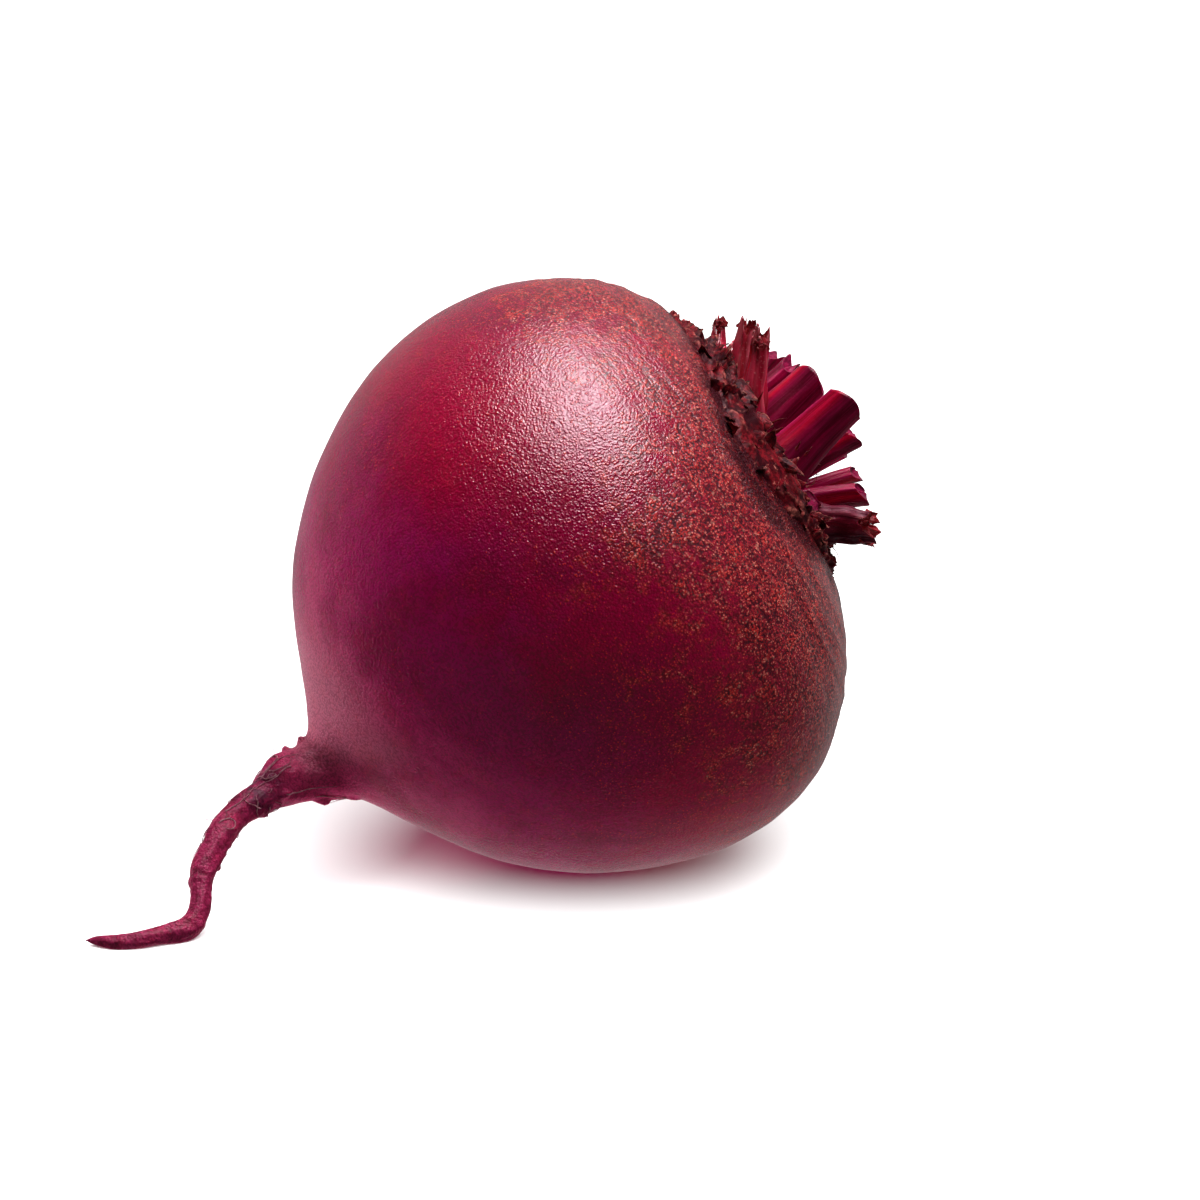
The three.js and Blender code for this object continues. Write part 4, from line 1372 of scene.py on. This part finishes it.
@dataclass
class DriedLeafBases:
    """The ring of dried leaf bases: a rough band on the shoulder, and overlapping papery flaps."""

    seed: int = 29
    around: int = 300
    along: int = 56
    flap_thickness: float = 0.18
    # The band's section, as (out, up) from the middle of the crown
    section: tuple[tuple[float, float], ...] = (
        (14.2, -2.9),
        (17.0, -3.4),
        (20.2, -3.6),
        (21.6, -2.3),
        (20.2, -1.35),
        (18.6, -0.8),
        (16.8, -0.5),
        (15.0, -0.6),
        (14.2, -2.9),
    )
    rows: tuple[FlapRow, ...] = (
        FlapRow(15.6, -1.2, 34, (0, 360), (-0.5, 0.2), (1.6, 3.6), (1.8, 4.0)),
        FlapRow(17.4, -1.2, 30, (0, 360), (-0.5, 0.4), (1.2, 3.0), (1.8, 4.2)),
        FlapRow(17.8, -1.6, 7, (10, 72), (-0.1, 0.5), (4.0, 5.6), (3.6, 5.0)),
        FlapRow(18.6, -1.6, 22, (38, 160), (-0.9, 0.9), (2.0, 4.4), (2.0, 4.4)),
        FlapRow(19.6, -2.0, 20, (50, 150), (0.6, 1.6), (1.6, 3.6), (2.0, 4.0)),
    )

    @staticmethod
    def crest(turn: float, length: float) -> float:
        """How sharp a crease stands up at a place on the band, from 0 to 1."""
        return max(0.0, 1 - 5.5 * abs(noise.noise(round_spot(turn, 6.0, length * 13))))

    def band(self, shreds: Shreds) -> None:
        """Adds the rough band, as a turned section with creases raised along it."""

        def place(turn_share: float, length: float) -> Vector:
            """The band's point at a share of its turn round the crown and round its section."""
            turn = turn_share * math.tau
            out, up = spline(self.section, length)
            folds = noise.fractal(round_spot(turn, 3.4, length * 7), 0.7, 2.2, 5)
            lift = 0.6 * folds + 0.6 * self.crest(turn, length) - 0.2
            top = smooth_share(up, -3.2, -1.6)
            return shreds.frame @ on_shoulder(turn, out + 0.5 * lift * top, up + lift * top)

        shell(shreds.bm, self.around, self.along, place)
        uv = uv_layer(shreds.bm)
        for vert in shreds.bm.verts:
            turn_share, length = vert.link_loops[0][uv].uv
            vert[shreds.edge] = 0.8 * self.crest(turn_share * math.tau, length)

    def build(self, paper: bpy.types.Material) -> bpy.types.Object:
        """Makes the band and its flaps.

        Args:
            paper: The papery finish.

        Returns:
            The piece that stands for the solid ring.
        """
        rng = random.Random(self.seed)
        shreds = Shreds("dried_leaf_bases", rng, POSE.drooped)
        self.band(shreds)
        for row in self.rows:
            first, last = row.arc
            for index in range(row.count):
                degrees = first + (last - first) * (index + rng.uniform(-0.35, 0.35)) / row.count
                turn = math.radians(degrees)
                foot = on_shoulder(turn, row.radius + rng.uniform(-0.8, 0.8), row.up)
                out = Vector((math.cos(turn), math.sin(turn), -0.3 * nearness(turn, NEAR_TURN)))
                sideways = Vector((-math.sin(turn), math.cos(turn), 0.0)) * rng.uniform(-0.9, 0.9)
                lean = rng.uniform(*row.lean)
                heading = out * lean + Vector((0, 0, 0.75 if lean < 0.6 else 0.1)) + sideways
                low = 1 - 0.6 * nearness(turn, UPPER_TURN)
                size = (low * rng.uniform(*row.long), rng.uniform(*row.wide), self.flap_thickness)
                shreds.slip(foot, heading, out + Vector((0, 0, 0.5)), size, rng.uniform(-0.4, 1.1))
        piece = shreds.done([paper])
        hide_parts("dry_leaf_bases")
        return piece


@dataclass
class TornFibres:
    """Loose shreds and fibres at the torn ends and round the feet of the stalks, in millimetres."""

    seed: int = 5
    torn_count: int = 8  # slips on a torn stalk
    whole_count: int = 4  # slips on any other
    by_end_chance: float = 0.75  # how likely a torn stalk's slip is to stand by its end
    end_share: tuple[float, float] = (0.80, 0.95)  # how far along the stalk it stands there
    foot_share: tuple[float, float] = (0.20, 0.36)
    end_long: tuple[float, float] = (0.8, 1.7)
    foot_long: tuple[float, float] = (1.2, 3.0)
    end_wide: tuple[float, float] = (0.9, 2.2)
    foot_wide: tuple[float, float] = (0.3, 0.7)
    thick: float = 0.16
    sunk: float = 0.44  # where a slip's foot stands, as a share of the stalk's width; its skin is at 0.5

    def build(self, fibre: bpy.types.Material) -> bpy.types.Object:
        """Makes all the loose shreds as one piece."""
        rng = random.Random(self.seed)
        shreds = Shreds("torn_fibres", rng, POSE.crown)
        for number, size in enumerate(STALKS):
            stalk = Stalk(size, number)
            is_torn = size.end is StalkEnd.TORN
            for _ in range(self.torn_count if is_torn else self.whole_count):
                turn = rng.uniform(0, math.tau)
                at_end = is_torn and rng.random() < self.by_end_chance
                share = rng.uniform(*(self.end_share if at_end else self.foot_share))
                middle, heading = stalk.bend(share)
                out = stalk.outward(heading)
                way = out.cross(heading) * math.cos(turn) + out * math.sin(turn)
                half = math.hypot(size.width * math.cos(turn), size.thick * math.sin(turn))
                reach = self.sunk * stalk.girth(share) * half
                long = rng.uniform(*(self.end_long if at_end else self.foot_long))
                wide = rng.uniform(*(self.end_wide if at_end else self.foot_wide))
                slip = (long, wide, self.thick)
                leaning = heading + way * rng.uniform(-0.2, 0.35)
                shreds.slip(middle + way * reach, leaning, way, slip, rng.uniform(-1.0, 1.2))
        return shreds.done([fibre])


@dataclass
class RootHairs:
    """Thin hair roots: curled ones that lie on the neck and tail, and a few that stand off."""

    seed: int = 11
    lying: int = 26
    loose: int = 9
    around: int = 6
    along: int = 22
    ring_count: int = 400
    clusters: tuple[float, ...] = (49.0, 50.5, 52.0, 54.0, 58.5, 63.0)  # how far below the bulb's centre
    step: float = 0.42  # between the points of a lying hair, in millimetres
    lying_thin: tuple[float, float] = (0.07, 0.12)  # the hairs' radii
    loose_thin: tuple[float, float] = (0.05, 0.09)
    loose_long: tuple[float, float] = (1.2, 2.8)
    loose_steps: int = 9
    loose_zone: tuple[float, float] = (-66.0, -43.0)
    floor_gap: float = 0.03
    form: RootForm = field(default_factory=RootForm)
    rings: list[Ring] = field(init=False)

    def __post_init__(self) -> None:
        """Lays out the root's rings."""
        self.rings = self.form.rings(self.ring_count)

    def tube(self, bm: bmesh.types.BMesh, points: Sequence[Vector], thin: float) -> None:
        """Adds one hair: a fine tapering tube along a line."""

        def place(turn_share: float, length: float) -> Vector:
            """The hair's point at a share of its turn and length."""
            middle = spline(points, length)
            ahead = spline(points, min(length + 0.04, 1.0)) - spline(points, max(length - 0.04, 0.0))
            side = ahead.normalized().orthogonal().normalized()
            turn = turn_share * math.tau
            radius = thin * (1 - length) ** 0.4 if 0 < length < 1 else 0.0
            round_way = side * math.cos(turn) + ahead.normalized().cross(side) * math.sin(turn)
            point = middle + radius * round_way
            point.z = max(point.z, self.floor_gap)
            return point

        shell(bm, self.around, self.along, place)

    def lying_line(self, rng: random.Random) -> list[Vector]:
        """The line of a curled hair that lies on the root."""
        at = rng.choice(self.clusters) + rng.uniform(-1.6, 1.6)
        place = min(range(len(self.rings)), key=lambda i: abs(self.rings[i].along + at)) + 0.5
        turn, bearing = rng.uniform(0, math.tau), rng.uniform(0, math.tau)
        points: list[Vector] = []
        veer = rng.uniform(-0.5, 0.5)
        for _ in range(10):
            point, way = self.form.surface(self.rings, place, turn)
            points.append(point + way * 0.05)
            bearing += veer + rng.uniform(-0.5, 0.5)
            gap = (self.rings[0].middle - self.rings[1].middle).length or 0.3
            place += self.step * math.cos(bearing) / max(gap, 0.2)
            turn += self.step * math.sin(bearing) / max(self.rings[int(place)].radius, 1.0)
        return points

    def loose_line(self, rng: random.Random) -> list[Vector]:
        """The line of a hair that stands off the root."""
        lowest, highest = self.loose_zone
        lower = [i for i, ring in enumerate(self.rings) if lowest < ring.along < highest]
        point, way = self.form.surface(self.rings, rng.choice(lower) + 0.5, rng.uniform(0, math.tau))
        axis = Vector((rng.uniform(-1, 1), rng.uniform(-1, 1), rng.uniform(-1, 1))).normalized()
        long, turning = rng.uniform(*self.loose_long), rng.uniform(-0.5, 0.5)
        heading = (way + 0.5 * axis).normalized()
        points = [point - way * 0.3]
        for _ in range(self.loose_steps):
            points.append(points[-1] + heading * long / self.loose_steps)
            heading = (Matrix.Rotation(turning, 3, axis) @ heading).normalized()
        return points

    def build(self, hair: bpy.types.Material) -> bpy.types.Object:
        """Makes all the hair roots as one piece."""
        rng = random.Random(self.seed)
        bm = bmesh.new()
        for _ in range(self.lying):
            self.tube(bm, self.lying_line(rng), rng.uniform(*self.lying_thin))
        for _ in range(self.loose):
            self.tube(bm, self.loose_line(rng), rng.uniform(*self.loose_thin))
        piece = finished(bm, "hair_roots", [hair])
        return piece


class LightUse(Enum):
    """What a light does: soft light on surfaces, shine in their gloss, or light on the floor alone."""

    SOFT = "soft"
    SHINE = "shine"
    FLOOR = "floor"


@dataclass(frozen=True)
class Softbox:
    """A soft light: its direction (right, up and toward the camera), distance, size, power and use."""

    name: str
    way: tuple[float, float, float]
    distance: float
    size: tuple[float, float]
    watts: float
    use: LightUse
    tint: tuple[float, float, float] = (1.0, 1.0, 1.0)


@dataclass(frozen=True)
class Studio:
    """The floor, the light and the camera, with the view that the photograph has."""

    azimuth: float = -19.7
    elevation: float = 16.0
    distance: float = 0.600
    frame_width: float = 0.16552  # metres that the picture is wide at that distance
    look_right: float = 0.00273  # how far the middle of the picture lies from the bulb's centre
    look_down: float = 0.00214
    sensor: float = 36.0  # the camera's sensor, in millimetres
    clip: tuple[float, float] = (0.01, 20.0)  # the nearest and the furthest that it sees, in metres
    dark_side: float = 0.008  # how bright the room is on the camera's side
    wall_glow: float = 0.35  # how bright it is behind the beet
    table_glow: float = 0.09  # how bright the light from below is
    wall_edge: tuple[float, float] = (-0.85, -0.30)  # where the glow starts to fade, and where it has gone
    table_edge: tuple[float, float] = (0.0, -0.35)  # how far below the horizon its light starts, and is full
    floor_gain: float = 0.45
    floor_half: float = 0.9  # half the floor's side, in metres
    boxes: tuple[Softbox, ...] = (
        Softbox("OverheadSoftLight", (0.15, 0.96, 0.22), 0.62, (0.5, 0.5), 5.3, LightUse.SOFT),
        Softbox("RightFill", (0.80, 0.30, 0.52), 0.70, (0.5, 0.5), 1.2, LightUse.SOFT),
        Softbox("LeftFill", (-0.88, 0.0, -0.47), 0.70, (0.5, 0.6), 6.0, LightUse.SOFT),
        Softbox("LowFill", (0.0, -0.75, -0.66), 0.70, (0.8, 0.5), 5.6, LightUse.SOFT),
        Softbox("TableBounce", (-0.45, -0.65, 0.60), 0.70, (0.6, 0.5), 0.45, LightUse.SOFT),
        Softbox("ShineCore", (0.05, 0.91, 0.40), 0.60, (0.32, 0.50), 11.5, LightUse.SHINE, (0.96, 0.97, 1.0)),
        Softbox("ShineEdge", (0.03, 0.93, 0.36), 0.66, (0.64, 0.80), 8.2, LightUse.SHINE, (0.96, 0.97, 1.0)),
        Softbox("FloorLight", (0.12, 0.70, 0.70), 1.2, (2.1, 2.1), 178.0, LightUse.FLOOR),
    )

    def basis(self) -> tuple[Vector, Vector, Vector]:
        """The camera's right, up and backward directions."""
        a, e = math.radians(self.azimuth), math.radians(self.elevation)
        back = Vector((math.sin(a) * math.cos(e), -math.cos(a) * math.cos(e), math.sin(e)))
        right = Vector((math.cos(a), math.sin(a), 0.0))
        return right, back.cross(right), back

    def camera(self) -> None:
        """Adds the camera."""
        right, up, back = self.basis()
        data = bpy.data.cameras.new("PhotoCamera")
        data.sensor_width = self.sensor
        data.lens = self.sensor * self.distance / self.frame_width
        data.clip_start, data.clip_end = self.clip
        eye = bpy.data.objects.new("PhotoCamera", data)
        bpy.context.scene.collection.objects.link(eye)
        aim = POSE.centre * MM + right * self.look_right - up * self.look_down
        turned = Matrix((right, up, back)).transposed().to_4x4()
        eye.matrix_world = Matrix.Translation(aim + back * self.distance) @ turned
        bpy.context.scene.camera = eye

    def softbox(self, box: Softbox, floor: bpy.types.Object) -> None:
        """Adds a soft light that faces the beet.

        Args:
            box: The light's place, size, power and use.
            floor: The floor, which has a light of its own.
        """
        data = bpy.data.lights.new(box.name, "AREA")
        data.shape = "RECTANGLE"
        data.size, data.size_y = box.size
        data.energy, data.color = box.watts, box.tint
        light = bpy.data.objects.new(box.name, data)
        bpy.context.scene.collection.objects.link(light)
        right, up, back = self.basis()
        way = (right * box.way[0] + up * box.way[1] + back * box.way[2]).normalized()
        across = right - way * right.dot(way)
        facing = Matrix((across.normalized(), way.cross(across).normalized(), way)).transposed()
        light.matrix_world = Matrix.Translation(POSE.centre * MM + way * box.distance) @ facing.to_4x4()
        light.visible_diffuse = box.use is not LightUse.SHINE
        light.visible_glossy = box.use is not LightUse.SOFT
        reach = bpy.data.collections.new(f"{box.name}Reach")
        reach.objects.link(floor)
        state = "INCLUDE" if box.use is LightUse.FLOOR else "EXCLUDE"
        reach.collection_objects[0].light_linking.link_state = state
        light.light_linking.receiver_collection = reach

    def surround(self) -> None:
        """Makes the room: white behind and beside the beet, dark on the camera's side."""
        world = bpy.data.worlds.new("WhiteStudio")
        world.use_nodes = True
        bpy.context.scene.world = world
        graph = Graph(world.node_tree)
        seen = world.node_tree.nodes["Background"]
        seen.inputs["Color"].default_value = (1, 1, 1, 1)
        way = graph.node("ShaderNodeTexCoord").outputs["Generated"]
        back = self.basis()[2]
        level = Vector((back.x, back.y, 0.0)).normalized()
        dot = graph.node("ShaderNodeVectorMath", {0: way, 1: tuple(level)}, operation="DOT_PRODUCT")
        facing = dot.outputs["Value"]
        height = graph.node("ShaderNodeSeparateXYZ", {0: way}).outputs[2]
        wall = graph.ease(facing, *self.wall_edge, self.wall_glow, self.dark_side)
        table = graph.ease(height, *self.table_edge, 0.0, self.table_glow)
        path = graph.node("ShaderNodeLightPath")
        strength = graph.math("MAXIMUM", wall, table)
        lit = graph.node("ShaderNodeBackground", {"Color": (1, 1, 1, 1), "Strength": strength})
        mixed = {0: path.outputs["Is Camera Ray"], 1: lit.outputs[0], 2: seen.outputs[0]}
        joined = graph.node("ShaderNodeMixShader", mixed)
        graph.feed(joined.outputs[0], world.node_tree.nodes["World Output"].inputs["Surface"])

    def floor(self) -> bpy.types.Object:
        """Adds the pale floor, lit bright enough to run into the white behind it."""
        bm = bmesh.new()
        bmesh.ops.create_grid(bm, x_segments=1, y_segments=1, size=self.floor_half)
        mesh = bpy.data.meshes.new("pale_floor")
        bm.to_mesh(mesh)
        bm.free()
        material = bpy.data.materials.new("PaleFloor")
        material.use_nodes = True
        graph = Graph(material.node_tree)
        pale = (self.floor_gain, self.floor_gain, self.floor_gain, 1)
        white = graph.node("ShaderNodeBsdfDiffuse", {"Color": pale})
        graph.feed(white.outputs[0], material.node_tree.nodes["Material Output"].inputs["Surface"])
        mesh.materials.append(material)
        floor = bpy.data.objects.new("pale_floor", mesh)
        bpy.context.scene.collection.objects.link(floor)
        floor.visible_diffuse = floor.visible_glossy = floor.visible_shadow = False
        return floor

    def build(self) -> None:
        """Sets the whole studio."""
        self.camera()
        floor = self.floor()
        self.surround()
        for box in self.boxes:
            self.softbox(box, floor)
        bpy.context.scene.view_settings.view_transform = "Standard"


def main() -> None:
    """Builds the beetroot piece by piece, then the studio."""
    logging.basicConfig(level=logging.INFO, format="%(name)s: %(message)s")
    palette = make_palette()
    Taproot().build(palette.skin)
    for number, size in enumerate(STALKS):
        if size.node.startswith("leaf"):
            body, slot = palette.fresh, "fresh_stalk"
        elif size.node.startswith("torn"):
            body, slot = palette.torn, "torn_stalk"
        else:
            body, slot = palette.dry, "dry_stalk"
        end = palette.cut if size.end is not StalkEnd.TORN else palette.fibre
        Stalk(size, number).build(body, end, slot)
    DriedLeafBases().build(palette.paper)
    TornFibres().build(palette.fibre)
    RootHairs().build(palette.hair)
    Studio().build()


if __name__ == "__main__":
    main()
